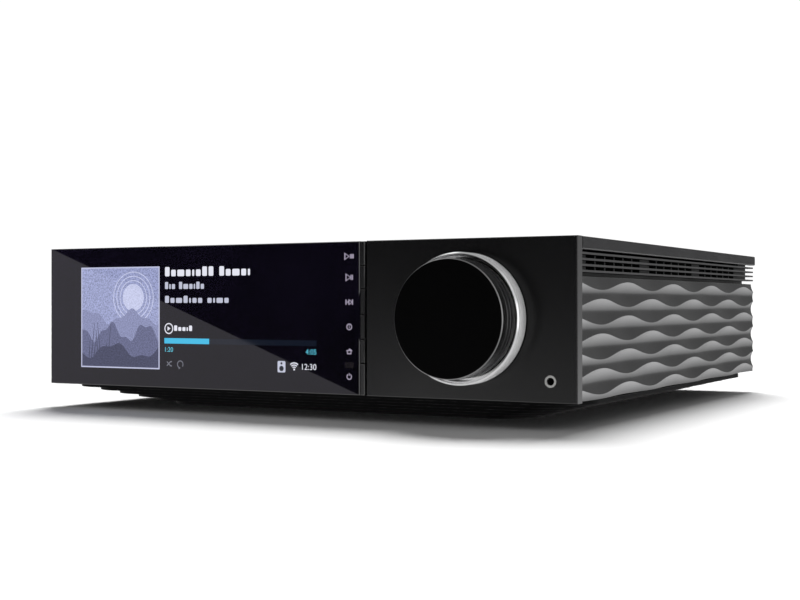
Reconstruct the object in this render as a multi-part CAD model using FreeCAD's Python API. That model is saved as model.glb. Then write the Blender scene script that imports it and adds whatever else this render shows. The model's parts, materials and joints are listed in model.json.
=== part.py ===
import FreeCAD, Part
import math
import os

Vector = FreeCAD.Vector

# Streaming amplifier. Millimetres, X to the right seen from the front, Y to the back, Z up.
# The origin is the bottom centre of the whole envelope. Depths are counted from the front face.

# Overall envelope
body_width = 317.0
body_height = 89.0
chassis_depth = 320.6
knob_protrusion = 20.0
terminal_protrusion = 11.4

# Gaps
seat_gap = 0.3
fit_gap = 0.1
running_gap = 0.05
front_groove = 1.0

# Stepped plinth and feet
foot_height = 0.76
foot_side = 20.0
foot_inset = 22.0
tier_count = 6
tier_height = 2.04
tier_side_step = 8.57
tier_front_step = 6.36
top_tier_side_inset = 1.9
top_tier_front_inset = 10.1
top_tier_rear_inset = 12.0
tier_corner_radius = 21.4
plinth_floor = 2.4
plinth_wall = 3.0

# Front panels
front_thickness = 5.7
glass_thickness = 1.8
glass_reveal = 0.15
front_plate_width = 110.0
front_edge_chamfer = 0.35
button_strip_width = 2.6
button_plate_gap = 1.05
button_glass_gap = 0.25
carrier_inset = 0.2

# Display
display_outer_margin = 16.0
display_inner_margin = 19.1
display_top_margin = 5.25
display_low_margin = 4.25
ribbon_width = 22.0
ribbon_thickness = 0.4
ribbon_height = 27.0
ribbon_inset = 23.5
ribbon_slot_margin = 1.0
ribbon_slot_height = 4.0

# Subframe behind the front panels
subframe_thickness = 3.0
jack_clearance = 0.4

# Front buttons, from the top one down: upper edge of each cap and middle of its mark and stem,
# both as a share of the front's height
button_top_shares = (0.997, 0.839, 0.688, 0.521, 0.362, 0.206)
button_icon_shares = (0.901, 0.764, 0.604, 0.445, 0.284, 0.121)
button_split = 0.3
button_names = ("play", "playpause", "skip", "info", "home", "power")
button_travel = 0.5
button_stem_height = 6.0
button_cap_depth = 4.8
button_flange_height = 8.0
button_flange_width = 6.0
button_flange_thickness = 1.0
button_pusher_side = 2.4
button_pusher_length = 1.0
switch_side = 6.0

# Front board
front_board_thickness = 1.6
front_board_reach = 10.85
front_board_side_gap = 3.5
front_board_bottom = 16.5
front_board_top_gap = 0.5
receiver_depth = 3.5
receiver_low = 25.0
receiver_high = 31.0
board_plug_width = 24.0
board_plug_side = 6.0
board_plug_margin = 1.5
ribbon_plug_height = 3.0
ribbon_plug_margin = 2.0
ribbon_drop = 8.0
ribbon_lead = 14.0

# Volume ring and select disc, both about one axis
knob_side = 55.6
knob_rise = 0.2
ring_radius = 31.0
ring_wall = 1.75
ring_front = 9.6
ring_back_gap = 0.8
ring_chamfer = 0.7
ring_step_depth = 0.8
ring_step_width = 0.65
web_thickness = 3.1
disc_radius = 27.9
disc_skirt_back = 6.0
disc_face = 2.5
disc_chamfer = 0.5
outer_shaft_radius = 3.5
inner_shaft_radius = 2.0
bush_radius = 5.0
bush_proud = 1.0
nut_flats = 14.0
nut_thickness = 2.4
nut_pocket_radius = 11.0
encoder_side = 28.0
encoder_depth = 8.0
outer_shaft_insert = 3.0
inner_shaft_insert = 5.5

# Headphone socket
jack_side = 13.1
jack_z = 22.8
jack_bore = 3.6
jack_sleeve = 5.6
jack_proud = 0.15
jack_body_width = 6.8
jack_body_height = 9.0
jack_bore_length = 14.0

# Bottom tray
tray_inset = 8.0
tray_sheet = 1.5
tray_front_lip = 4.0
tray_rear_lip = 9.0
tray_wall_gap = 1.7

# Rear panel
rear_panel_thickness = 2.0
rear_recess = 2.6

# Top cover
cover_thickness = 3.0
cover_skirt = 5.9
cover_side = 3.0
cover_edge_radius = 0.8
cover_lip_chamfer = 0.5

# Vent grille on each side
grille_inset = 5.5
grille_wall = 2.0
grille_recess = 3.6
fin_count = 4
fin_pitch = 2.73
fin_thickness = 1.0
fin_inset = 1.3
fin_drop = 16.3
slot_groups = 3
slots_per_group = 6
slot_rib = 1.9
slot_first = 24.4
slot_rear_margin = 29.7
slot_group_gap = 15.5
grille_tab_length = 19.0
grille_tab_radius = 2.5

# Wave-fluted side panels
panel_inset = 0.3
panel_bottom = 13.5
panel_top_gap = 2.0
panel_front = 6.5
panel_recess = 2.6
flute_pitches = 7
flute_radius = 9.45
wave_amplitude = 1.0
wave_length = 74.5
wave_start = -5.0
stations_per_wave = 8
chords_per_flute = 4
tab_length = 9.0
tab_reach = 4.0
tab_inset = 26.0
magnet_length = 18.0
magnet_height = 10.0
magnet_thickness = 1.4
keeper_thickness = 2.0
magnet_inset = 48.0
magnet_low = 26.0
magnet_drop = 12.7

# Mains inlet with rocker switch
inlet_share = -0.366
inlet_floor_gap = 3.0
inlet_flange_width = 31.0
inlet_flange_height = 50.0
inlet_flange_thickness = 2.5
inlet_body_width = 27.0
inlet_body_height = 46.0
inlet_body_depth = 24.0
socket_width = 24.6
socket_height = 16.8
socket_depth = 19.0
socket_chamfer = 4.0
socket_drop = 11.5
blade_length = 12.0
blade_width = 2.0
blade_height = 4.0
blade_pitch = 7.0
blade_offset = 2.0
rocker_rise = 12.5
rocker_radius = 9.0
rocker_length = 12.0
rocker_setback = 4.2
rocker_face = 5.6
rocker_tilt = 8.0
rocker_back = 3.0
rocker_pin_radius = 1.5
rocker_pin_length = 1.5

# Loudspeaker terminals
post_count = 4
post_pitch_share = 0.06
post_first_share = -0.057
post_rise = 0.5
block_margin = 11.0
block_height = 26.0
block_thickness = 2.5
block_boss_margin = 5.5
block_boss_length = 3.5
stud_radius = 3.0
stud_inner_length = 10.0
stud_recess = 1.0
banana_bore = 4.0
banana_depth = 18.0
collar_flats = 14.0
collar_thickness = 1.5
cap_flats = 13.0

# Phono sockets
phono_columns = 2
phono_rows = 2
phono_pitch_x = 18.0
phono_pitch_z = 18.0
phono_share = 0.297
phono_low_z = 36.0
phono_barrel = 8.3
phono_barrel_wall = 0.8
phono_barrel_length = 9.0
phono_block_depth = 13.0
phono_pin_hole = 3.3
phono_pin_depth = 10.0
phono_insulator_recess = 2.0
phono_block_margin = 2.5

# Digital ports, each centred on its share of the width
port_z = 36.0
port_proud = 1.0
optical_share = 0.208
optical_size = (10.0, 10.0, 14.0)
optical_hole = 6.2
hdmi_share = 0.142
hdmi_size = (15.4, 6.2, 12.0)
hdmi_hole = (14.0, 4.6)
usb_share = 0.076
usb_size = (14.6, 7.4, 16.0)
usb_hole = (12.6, 5.2)
ethernet_share = 0.0125
ethernet_size = (16.4, 14.0, 18.0)
ethernet_hole = (12.0, 8.6)
port_wall = 0.9
port_floor = 2.7
tongue_thickness = 1.4

# Aerial connectors
aerial_shares = (0.442, 0.063)
aerial_drop = 17.0
aerial_radius = 3.1
aerial_body_side = 5.0
aerial_wall = 0.9
aerial_thread_length = 6.5
aerial_bore_length = 6.0
aerial_nut_flats = 8.0
aerial_nut_thickness = 2.0
aerial_tail = 9.0

# Inner boards and parts on them
standoff_flats = 5.5
standoff_height = 6.0
standoff_inset = 6.0
board_thickness = 1.6
board_side_gap = 4.5
main_board_length = 112.0
main_board_rear_gap = 8.0
main_board_reach = 22.0
supply_board_length = 170.0
supply_board_rear_gap = 26.0
supply_board_side_gap = 12.0
amp_board_size = (76.0, 110.0)
amp_board_gap = 16.0
stream_size = (46.0, 36.0, 6.0)
stream_offset = (50.0, 30.0)
chip_offsets = ((-46.0, 20.0), (-22.0, 44.0), (-54.0, 66.0))
chip_side = 14.0
chip_height = 2.0
coil_side = 18.0
coil_height = 14.0
coil_inset = 12.0
bridge_side = 14.0
bridge_height = 3.0
channel_inset = 20.0
channel_pitch = 40.0
transformer_size = (46.0, 40.0, 34.0)
transformer_offset = (5.0, 70.0)
transformer_core_width = 14.0
transformer_coil_inset = 8.0
transformer_foot_inset = 4.0
transformer_foot_height = 4.0
capacitor_radius = 14.0
capacitor_length = 42.0
capacitor_offset = (20.0, 30.0)
film_capacitor_size = (12.0, 26.0, 18.0)
film_capacitor_offset = (8.0, 56.0)
choke_offset = (8.0, 96.0)
choke_size = (24.0, 22.0, 16.0)
spreader_offset = (27.0, 20.0)
spreader_size = (3.0, 36.0, 30.0)
sink_side_gap = 6.5
sink_width = 42.0
sink_board_gap = 6.0
sink_height = 46.0
sink_base = 5.0
sink_fins = 6
sink_fin_thickness = 2.0


# Derived places
half_width = body_width / 2
half_tray = half_width - tray_inset
y_face = knob_protrusion - (knob_protrusion + chassis_depth + terminal_protrusion) / 2
deck_z = foot_height + tier_count * tier_height
front_height = body_height - deck_z
lid_z = body_height - cover_thickness
inner_middle_z = (deck_z + lid_z) / 2
plate_left = half_width - front_plate_width
strip_right = plate_left - button_plate_gap
strip_left = strip_right - button_strip_width
glass_right = strip_left - button_glass_gap
display_left = display_outer_margin - half_width
display_right = glass_right - display_inner_margin
display_low = deck_z + display_low_margin
display_top = body_height - display_top_margin
ribbon_x = display_right - ribbon_inset
knob_x = half_width - knob_side
knob_z = (deck_z + body_height) / 2 + knob_rise
jack_x = half_width - jack_side
subframe_back = front_thickness + subframe_thickness
front_board_front = subframe_back + encoder_depth
front_board_left = strip_left - front_board_reach
front_board_right = half_tray - front_board_side_gap
front_board_top = lid_z - front_board_top_gap
floor_z = deck_z + tray_sheet
board_z = floor_z + standoff_height
board_top = board_z + board_thickness
rear_face = chassis_depth - rear_recess
tray_rear = rear_face - rear_panel_thickness
cover_front = front_thickness + front_groove
grille_face = half_width - grille_inset
grille_rear = chassis_depth - grille_recess
fin_edge = half_width - fin_inset
fin_bottom = body_height - fin_drop
tray_wall_top = fin_bottom - tray_wall_gap
slot_group_length = (grille_rear - slot_rear_margin - slot_first
                     - (slot_groups - 1) * slot_group_gap) / slot_groups
slot_length = (slot_group_length - (slots_per_group - 1) * slot_rib) / slots_per_group
panel_outer = half_width - panel_inset
panel_back = half_tray + seat_gap
panel_height = fin_bottom - panel_top_gap - panel_bottom
panel_rear = chassis_depth - panel_recess
magnet_high = panel_bottom + panel_height - magnet_drop
tab_z = (magnet_low + magnet_high) / 2
inlet_x = inlet_share * body_width
inlet_z = deck_z + tray_rear_lip + inlet_floor_gap + inlet_body_height / 2
post_pitch = post_pitch_share * body_width
post_first_x = post_first_share * body_width
post_z = inner_middle_z + post_rise
phono_first_x = phono_share * body_width
optical_x = optical_share * body_width
hdmi_x = hdmi_share * body_width
usb_x = usb_share * body_width
ethernet_x = ethernet_share * body_width
aerial_x = tuple(share * body_width for share in aerial_shares)
aerial_z = body_height - aerial_drop


# Boards, each as its two X and its two depths
main_board_rear = tray_rear - main_board_rear_gap
main_board_box = (ribbon_x - main_board_reach, half_tray - board_side_gap,
                  main_board_rear - main_board_length, main_board_rear)
supply_board_rear = tray_rear - supply_board_rear_gap
supply_board_box = (board_side_gap - half_tray, main_board_box[0] - supply_board_side_gap,
                    supply_board_rear - supply_board_length, supply_board_rear)
sink_right = half_tray - sink_side_gap
amp_board_right = sink_right - sink_width - sink_board_gap
amp_board_rear = main_board_box[2] - amp_board_gap
amp_board_box = (amp_board_right - amp_board_size[0], amp_board_right,
                 amp_board_rear - amp_board_size[1], amp_board_rear)
sink_box = (sink_right - sink_width, sink_right, amp_board_box[2], amp_board_box[3])


def back(depth):
    """Y of a place that lies this far behind the front face."""
    return y_face + depth


def block(x0, x1, d0, d1, z0, z1):
    """Box between two X, two depths behind the front face and two heights."""
    corner = Vector(x0, back(d0), z0)
    return Part.makeBox(x1 - x0, d1 - d0, z1 - z0, corner)


def rod_y(x, z, d0, d1, radius):
    """Cylinder along Y between two depths."""
    return Part.makeCylinder(radius, d1 - d0, Vector(x, back(d0), z), Vector(0, 1, 0))


def rod_x(depth, z, x0, x1, radius):
    """Cylinder along X between two X."""
    return Part.makeCylinder(radius, x1 - x0, Vector(x0, back(depth), z), Vector(1, 0, 0))


def rod_z(x, depth, z0, z1, radius):
    """Cylinder along Z between two heights."""
    return Part.makeCylinder(radius, z1 - z0, Vector(x, back(depth), z0), Vector(0, 0, 1))


def turned(profile, x, z):
    """Solid turned about a Y axis from (radius, depth) points."""
    points = [Vector(x + radius, back(depth), z) for radius, depth in profile]
    points.append(points[0])
    face = Part.Face(Part.makePolygon(points))
    return face.revolve(Vector(x, y_face, z), Vector(0, 1, 0), 360)


def extruded_xz(points, d0, d1):
    """Prism along Y from (x, z) points."""
    outline = [Vector(x, back(d0), z) for x, z in points]
    outline.append(outline[0])
    return Part.Face(Part.makePolygon(outline)).extrude(Vector(0, d1 - d0, 0))


def hexagon_corners(flats):
    """Corner offsets of a hexagon given across its flats."""
    radius = flats / 2 / math.cos(math.pi / 6)
    return [(radius * math.cos(k * math.pi / 3), radius * math.sin(k * math.pi / 3)) for k in range(6)]


def hexagon_y(x, z, d0, d1, flats):
    """Hexagonal prism along Y."""
    return extruded_xz([(x + u, z + v) for u, v in hexagon_corners(flats)], d0, d1)


def hexagon_z(x, depth, z0, z1, flats):
    """Hexagonal prism along Z."""
    outline = [Vector(x + u, back(depth) + v, z0) for u, v in hexagon_corners(flats)]
    outline.append(outline[0])
    return Part.Face(Part.makePolygon(outline)).extrude(Vector(0, 0, z1 - z0))


def rounded_slab(half_x, d0, d1, z0, z1, radius):
    """Slab with round plan corners."""
    slab = block(-half_x, half_x, d0, d1, z0, z1)
    uprights = [e for e in slab.Edges if abs(e.tangentAt(e.FirstParameter).z) > 0.99]
    return slab.makeFillet(radius, uprights)


def fuse_all(shapes):
    """One clean solid from touching or overlapping shapes."""
    joined = shapes[0].fuse(shapes[1:])
    return joined.removeSplitter()


def mirrored(shape):
    """The same piece on the other side of the middle plane."""
    return shape.mirror(Vector(0, 0, 0), Vector(1, 0, 0))


def chamfer_front(shape, size):
    """Break the edges that lie in the front face."""
    edges = [e for e in shape.Edges
             if all(abs(v.Point.y - y_face) < 1e-6 for v in e.Vertexes) and len(e.Vertexes) == 2]
    return shape.makeChamfer(size, edges)


# Plinth, feet and tray

def tier_outline(index):
    """Half width, front depth and rear depth of one tier, counted from the top."""
    half_x = half_width - top_tier_side_inset - index * tier_side_step
    front = top_tier_front_inset + index * tier_front_step
    rear = tray_rear - top_tier_rear_inset - index * tier_front_step
    return half_x, front, rear


def base_plinth():
    """Inverted steps, moulded hollow from above."""
    tiers = []
    for index in range(tier_count):
        half_x, front, rear = tier_outline(index)
        top = deck_z - index * tier_height
        tiers.append(rounded_slab(half_x, front, rear, top - tier_height, top, tier_corner_radius))
    plinth = fuse_all(tiers)
    half_x, front, rear = tier_outline(tier_count - 1)
    pocket = rounded_slab(half_x - plinth_wall, front + plinth_wall, rear - plinth_wall,
                          foot_height + plinth_floor, deck_z, tier_corner_radius - plinth_wall)
    return plinth.cut(pocket)


def foot_places():
    """Centres of the four feet under the lowest tier."""
    half_x, front, rear = tier_outline(tier_count - 1)
    return [(side * (half_x - foot_inset), depth)
            for side in (-1, 1) for depth in (front + foot_inset, rear - foot_inset)]


def rubber_feet():
    """Four square pads."""
    half = foot_side / 2
    return Part.makeCompound([block(x - half, x + half, depth - half, depth + half, 0, foot_height)
                              for x, depth in foot_places()])


def bottom_tray():
    """Folded sheet: floor, two side walls, a front lip and a rear lip."""
    floor = block(-half_tray, half_tray, subframe_back, tray_rear, deck_z, floor_z)
    walls = [block(side * half_tray - (tray_sheet if side > 0 else 0),
                   side * half_tray + (tray_sheet if side < 0 else 0),
                   subframe_back, tray_rear, deck_z, tray_wall_top) for side in (-1, 1)]
    front_lip = block(-half_tray, half_tray, subframe_back, subframe_back + tray_sheet,
                      deck_z, deck_z + tray_front_lip)
    rear_lip = block(-half_tray, half_tray, tray_rear - tray_sheet, tray_rear, deck_z, deck_z + tray_rear_lip)
    tray = fuse_all([floor, front_lip, rear_lip] + walls)
    tabs = [tab_block(depth, half_tray - tray_sheet, 0) for depth in tab_depths()]
    tray = tray.fuse(tabs + [mirrored(tab) for tab in tabs])
    windows = [magnet_block(place, half_tray - tray_sheet, half_tray, fit_gap) for place in magnet_places()]
    tray = tray.cut(windows + [mirrored(window) for window in windows])
    return tray.removeSplitter()


def tab_depths():
    """Depths of the two locating tabs of a side panel."""
    return (panel_front + tab_inset, panel_rear - tab_inset)


def tab_block(depth, start, gap):
    """Locating tab bent out of the tray's wall, or the slot for it, larger by a gap."""
    half_length = tab_length / 2 + gap
    half_height = tray_sheet / 2 + gap
    return block(start, half_tray + tab_reach + gap, depth - half_length, depth + half_length,
                 tab_z - half_height, tab_z + half_height)


def magnet_places():
    """Depth and height of the holding magnets behind a side panel."""
    return [(depth, z) for depth in (panel_front + magnet_inset, panel_rear - magnet_inset)
            for z in (magnet_low, magnet_high)]


def magnet_block(place, x0, x1, gap):
    """Space of one magnet or keeper between two X, larger by a gap."""
    depth, z = place
    half_length = magnet_length / 2 + gap
    half_height = magnet_height / 2 + gap
    return block(x0, x1, depth - half_length, depth + half_length, z - half_height, z + half_height)


def chassis_magnets():
    """Flat bar magnets set flush in the tray's side walls."""
    bars = [magnet_block(place, half_tray - magnet_thickness, half_tray, 0) for place in magnet_places()]
    return Part.makeCompound(bars + [mirrored(bar) for bar in bars])


# Side panels with wave-shaped flutes

def flute_shift(index, depth):
    """How far one flute's centre line is shifted inwards at this depth; flutes alternate."""
    start = wave_start + (0 if index % 2 else wave_length / 2)
    return wave_amplitude * math.cos(2 * math.pi * (depth - start) / wave_length)


def flute_section(depth):
    """Closed line across a panel: flat back and a row of hollow flutes that meet in sharp ridges."""
    pitch = panel_height / flute_pitches
    top = panel_bottom + panel_height
    lean = math.hypot(pitch, 2 * wave_amplitude)
    crest = math.sqrt(flute_radius ** 2 - lean ** 2 / 4) * pitch / lean
    centres = [(panel_outer + crest - flute_shift(k, depth), top - k * pitch)
               for k in range(flute_pitches + 1)]
    ridges = []
    for (x0, z0), (x1, z1) in zip(centres, centres[1:]):
        span = math.hypot(x1 - x0, z1 - z0)
        rise = math.sqrt(flute_radius ** 2 - span ** 2 / 4)
        ridges.append(((x0 + x1) / 2 - rise * (z0 - z1) / span, (z0 + z1) / 2 + rise * (x0 - x1) / span))
    ends = [(centres[0][0] - flute_radius, top)] + ridges + [(centres[-1][0] - flute_radius, panel_bottom)]
    points = [Vector(panel_back, back(depth), top)]
    for index, (xc, zc) in enumerate(centres):
        (xa, za), (xb, zb) = ends[index], ends[index + 1]
        start = math.atan2(za - zc, xc - xa)
        sweep = math.atan2(zb - zc, xc - xb) - start
        half_flute = index in (0, flute_pitches)
        chords = chords_per_flute // 2 if half_flute else chords_per_flute
        for step in range(chords):
            angle = start + sweep * step / chords
            x = xc - flute_radius * math.cos(angle)
            points.append(Vector(x, back(depth), zc + flute_radius * math.sin(angle)))
    points += [Vector(ends[-1][0], back(depth), panel_bottom), Vector(panel_back, back(depth), panel_bottom)]
    return Part.makePolygon(points + [points[0]])


def side_panel():
    """Right-hand panel lofted through its sections, with pockets in its back."""
    count = round((panel_rear - panel_front) / wave_length * stations_per_wave)
    step = (panel_rear - panel_front) / count
    sections = [flute_section(panel_front + k * step) for k in range(count + 1)]
    panel = Part.makeLoft(sections, True, True)
    floor = panel_back + keeper_thickness
    pockets = [magnet_block(place, panel_back, floor, fit_gap) for place in magnet_places()]
    slots = [tab_block(depth, panel_back, fit_gap) for depth in tab_depths()]
    return panel.cut(pockets + slots)


def panel_keepers():
    """Steel bars set flush in the back of the right-hand panel."""
    return Part.makeCompound([magnet_block(place, panel_back, panel_back + keeper_thickness, 0)
                              for place in magnet_places()])


# Vent grille, cover

def vent_grille():
    """Right-hand grille: wall with rows of slots between long fins."""
    fins_top = fin_bottom + (fin_count - 1) * fin_pitch + fin_thickness
    wall_inner = grille_face - grille_wall
    wall = block(wall_inner, grille_face, cover_front, grille_rear, fin_bottom, fins_top)
    foot = block(half_tray - tray_sheet, wall_inner, subframe_back, tray_rear, tray_wall_top, fin_bottom)
    heel = block(wall_inner - grille_wall / 2, wall_inner, subframe_back, tray_rear,
                 tray_wall_top, fin_bottom + fin_thickness)
    fins = [block(grille_face, fin_edge, cover_front, chassis_depth, fin_bottom + k * fin_pitch,
                  fin_bottom + k * fin_pitch + fin_thickness) for k in range(fin_count)]
    tab = block(wall_inner, grille_face, grille_rear - grille_tab_length, grille_rear, fins_top, lid_z)
    tab_corners = [e for e in tab.Edges if abs(e.tangentAt(e.FirstParameter).x) > 0.99
                   and e.CenterOfMass.z > lid_z - 0.1]
    tab = tab.makeFillet(grille_tab_radius, tab_corners)
    grille = fuse_all([wall, foot, heel, tab] + fins)
    slots = []
    for group in range(slot_groups):
        first = slot_first + group * (slot_group_length + slot_group_gap)
        for index in range(slots_per_group):
            start = first + index * (slot_length + slot_rib)
            slots.append(block(wall_inner, grille_face, start, start + slot_length,
                               fin_bottom + fin_thickness, fins_top - fin_thickness))
    return grille.cut(slots)


def top_cover():
    """Plate with a short skirt down both sides."""
    low = body_height - cover_skirt
    inner = half_width - cover_side
    bevel = cover_lip_chamfer
    right = [(inner, lid_z), (inner, low), (half_width - bevel, low), (half_width, low + bevel),
             (half_width, body_height)]
    points = [(-x, z) for x, z in reversed(right)] + right
    cover = extruded_xz(points, cover_front, chassis_depth)
    edges = [e for e in cover.Edges if abs(e.CenterOfMass.z - body_height) < 1e-6
             and abs(abs(e.CenterOfMass.x) - half_width) < 1e-6]
    return cover.makeFillet(cover_edge_radius, edges)


# Front panels

def front_plate():
    """Right-hand front plate with the knob opening and the socket hole."""
    plate = block(plate_left, half_width, 0, front_thickness, deck_z, body_height)
    plate = chamfer_front(plate, front_edge_chamfer)
    plate = plate.cut(rod_y(knob_x, knob_z, 0, front_thickness, nut_pocket_radius))
    return plate.cut(rod_y(jack_x, jack_z, 0, front_thickness, jack_sleeve / 2 + fit_gap))


def display_glass():
    """Cover glass over the left-hand front."""
    glass = block(-half_width, glass_right, 0, glass_thickness,
                  deck_z + glass_reveal, body_height - glass_reveal)
    return chamfer_front(glass, front_edge_chamfer)


def display_box(gap):
    """Space of the display module, grown by a gap all round."""
    return block(display_left - gap, display_right + gap, glass_thickness, front_thickness,
                 display_low - gap, display_top + gap)


def display_carrier():
    """Frame that the glass is bonded to, open for the display module."""
    inset = glass_reveal + carrier_inset
    carrier = block(-half_width + carrier_inset, glass_right - carrier_inset,
                    glass_thickness, front_thickness, deck_z + inset, body_height - inset)
    return carrier.cut(display_box(seat_gap))


def lcd_module():
    """Display module behind the glass."""
    return display_box(0)


def button_centres():
    """Name, lower edge, upper edge and stem centre of each button."""
    tops = [deck_z + share * front_height for share in button_top_shares]
    lows = [top + button_split for top in tops[1:]] + [deck_z + glass_reveal]
    middles = [deck_z + share * front_height for share in button_icon_shares]
    return list(zip(button_names, lows, tops, middles))


def front_button(low, top, middle):
    """Cap, stem, retaining flange and pusher of one front button."""
    x_mid = (strip_left + strip_right) / 2
    flange_start = subframe_back + seat_gap
    cap = chamfer_front(block(strip_left, strip_right, 0, button_cap_depth, low, top), front_edge_chamfer)
    stem = block(strip_left, strip_right, button_cap_depth, flange_start,
                 middle - button_stem_height / 2, middle + button_stem_height / 2)
    flange = block(x_mid - button_flange_width / 2, x_mid + button_flange_width / 2, flange_start,
                   flange_start + button_flange_thickness,
                   middle - button_flange_height / 2, middle + button_flange_height / 2)
    pusher_start = flange_start + button_flange_thickness
    reach = button_pusher_side / 2
    pusher = block(x_mid - reach, x_mid + reach, pusher_start, pusher_start + button_pusher_length,
                   middle - reach, middle + reach)
    return fuse_all([cap, stem, flange, pusher])


def front_subframe():
    """Plate behind the glass and the front plate, with holes for all that passes."""
    plate = block(-half_tray, half_tray, front_thickness, subframe_back, deck_z, lid_z)
    slot_half = ribbon_width / 2 + ribbon_slot_margin
    cuts = [rod_y(knob_x, knob_z, front_thickness, subframe_back, bush_radius + fit_gap),
            rod_y(jack_x, jack_z, front_thickness, subframe_back, jack_sleeve / 2 + jack_clearance),
            block(ribbon_x - slot_half, ribbon_x + slot_half, front_thickness, subframe_back,
                  ribbon_height - ribbon_slot_height / 2, ribbon_height + ribbon_slot_height / 2)]
    for _, low, top, middle in button_centres():
        half = button_stem_height / 2 + seat_gap
        cuts.append(block(strip_left - seat_gap, strip_right + seat_gap, front_thickness, subframe_back,
                          middle - half, middle + half))
    return plate.cut(cuts)


def display_ribbon():
    """Flat flexible cable from the display module down to the connector on the main board."""
    start = front_thickness
    run = main_board_box[2] + standoff_inset
    plug_top = board_top + ribbon_plug_height
    half = ribbon_width / 2
    bend = start + ribbon_lead
    path = [(start, ribbon_height), (bend, ribbon_height), (bend + ribbon_drop, plug_top), (run, plug_top)]
    upper = [Vector(ribbon_x - half, back(d), z + ribbon_thickness) for d, z in path]
    lower = [Vector(ribbon_x - half, back(d), z) for d, z in reversed(path)]
    outline = upper + lower + [upper[0]]
    return Part.Face(Part.makePolygon(outline)).extrude(Vector(ribbon_width, 0, 0))


def front_board():
    """Control board behind the buttons and the knob, with the remote receiver and a plug."""
    rear = front_board_front + front_board_thickness
    middle = (front_board_left + front_board_right) / 2
    low = front_board_bottom + board_plug_margin
    board = block(front_board_left, front_board_right, front_board_front, rear,
                  front_board_bottom, front_board_top)
    receiver_right = (strip_left + strip_right - switch_side) / 2 - seat_gap
    receiver = block(front_board_left, receiver_right, front_board_front - receiver_depth,
                     front_board_front, receiver_low, receiver_high)
    plug = block(middle - board_plug_width / 2, middle + board_plug_width / 2, rear, rear + board_plug_side,
                 low, low + board_plug_side)
    return fuse_all([board, receiver, plug])


def tact_switches():
    """One small switch behind each front button."""
    x_mid = (strip_left + strip_right) / 2
    pusher_end = subframe_back + seat_gap + button_flange_thickness + button_pusher_length
    front = pusher_end + button_travel + seat_gap
    half = switch_side / 2
    return Part.makeCompound([block(x_mid - half, x_mid + half, front, front_board_front,
                                    middle - half, middle + half)
                              for _, low, top, middle in button_centres()])


def headphone_jack():
    """Socket with a metal sleeve that shows at the front plate."""
    sleeve = rod_y(jack_x, jack_z, -jack_proud, subframe_back, jack_sleeve / 2)
    body = block(jack_x - jack_body_width / 2, jack_x + jack_body_width / 2, subframe_back, front_board_front,
                 jack_z - jack_body_height / 2, jack_z + jack_body_height / 2)
    jack = fuse_all([sleeve, body])
    return jack.cut(rod_y(jack_x, jack_z, -jack_proud, jack_bore_length - jack_proud, jack_bore / 2))


# Volume ring and select disc

def volume_encoder():
    """Encoder with its threaded bush and the nut that clamps it, as one piece."""
    half = encoder_side / 2
    body = block(knob_x - half, knob_x + half, subframe_back, front_board_front, knob_z - half, knob_z + half)
    bush = rod_y(knob_x, knob_z, bush_proud, subframe_back, bush_radius)
    nut = hexagon_y(knob_x, knob_z, front_thickness - nut_thickness, front_thickness, nut_flats)
    encoder = fuse_all([body, bush, nut])
    encoder = encoder.cut(rod_y(knob_x, knob_z, bush_proud, subframe_back + outer_shaft_insert + seat_gap,
                                outer_shaft_radius + running_gap))
    return encoder.cut(rod_y(knob_x, knob_z, subframe_back, subframe_back + inner_shaft_insert + seat_gap,
                             inner_shaft_radius + running_gap))


def volume_ring():
    """Ring with a polished bevel, a stepped mouth, and the web and outer shaft behind the disc."""
    bore = ring_radius - ring_wall
    step = bore + ring_step_width
    shaft_bore = inner_shaft_radius + running_gap
    shaft_end = subframe_back + outer_shaft_insert
    web_front = -ring_back_gap - web_thickness
    profile = [(shaft_bore, shaft_end), (outer_shaft_radius, shaft_end), (outer_shaft_radius, -ring_back_gap),
               (ring_radius, -ring_back_gap), (ring_radius, -ring_front + ring_chamfer),
               (ring_radius - ring_chamfer, -ring_front), (step, -ring_front),
               (step, -ring_front + ring_step_depth), (bore, -ring_front + ring_step_depth),
               (bore, web_front), (shaft_bore, web_front)]
    return turned(profile, knob_x, knob_z)


def select_disc():
    """Machined disc with a blind bore for the inner shaft."""
    face = -knob_protrusion
    shaft_seat = face + disc_face
    profile = [(0, face), (disc_radius - disc_chamfer, face), (disc_radius, face + disc_chamfer),
               (disc_radius, -disc_skirt_back), (inner_shaft_radius, -disc_skirt_back),
               (inner_shaft_radius, shaft_seat), (0, shaft_seat)]
    return turned(profile, knob_x, knob_z)


def select_shaft():
    """Inner shaft, right through the outer one."""
    return rod_y(knob_x, knob_z, -knob_protrusion + disc_face, subframe_back + inner_shaft_insert,
                 inner_shaft_radius)


# Rear panel and what it carries

def inlet_box(grow, d0, d1):
    """Body of the mains inlet, grown by a gap."""
    return block(inlet_x - inlet_body_width / 2 - grow, inlet_x + inlet_body_width / 2 + grow, d0, d1,
                 inlet_z - inlet_body_height / 2 - grow, inlet_z + inlet_body_height / 2 + grow)


def phono_places():
    """Centres of the phono sockets."""
    return [(phono_first_x + column * phono_pitch_x, phono_low_z + row * phono_pitch_z)
            for column in range(phono_columns) for row in range(phono_rows)]


def post_places():
    """X of the loudspeaker posts."""
    return [post_first_x - k * post_pitch for k in range(post_count)]


def port_list():
    """Place and outer size of each digital port."""
    return ((optical_x, optical_size), (hdmi_x, hdmi_size), (usb_x, usb_size), (ethernet_x, ethernet_size))


def phono_box(gap, d0, d1):
    """Face of the phono block where it passes the rear panel, larger by a gap."""
    margin = phono_barrel / 2 + phono_block_margin + gap
    xs = [x for x, _ in phono_places()]
    zs = [z for _, z in phono_places()]
    return block(min(xs) - margin, max(xs) + margin, d0, d1, min(zs) - margin, max(zs) + margin)


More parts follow.
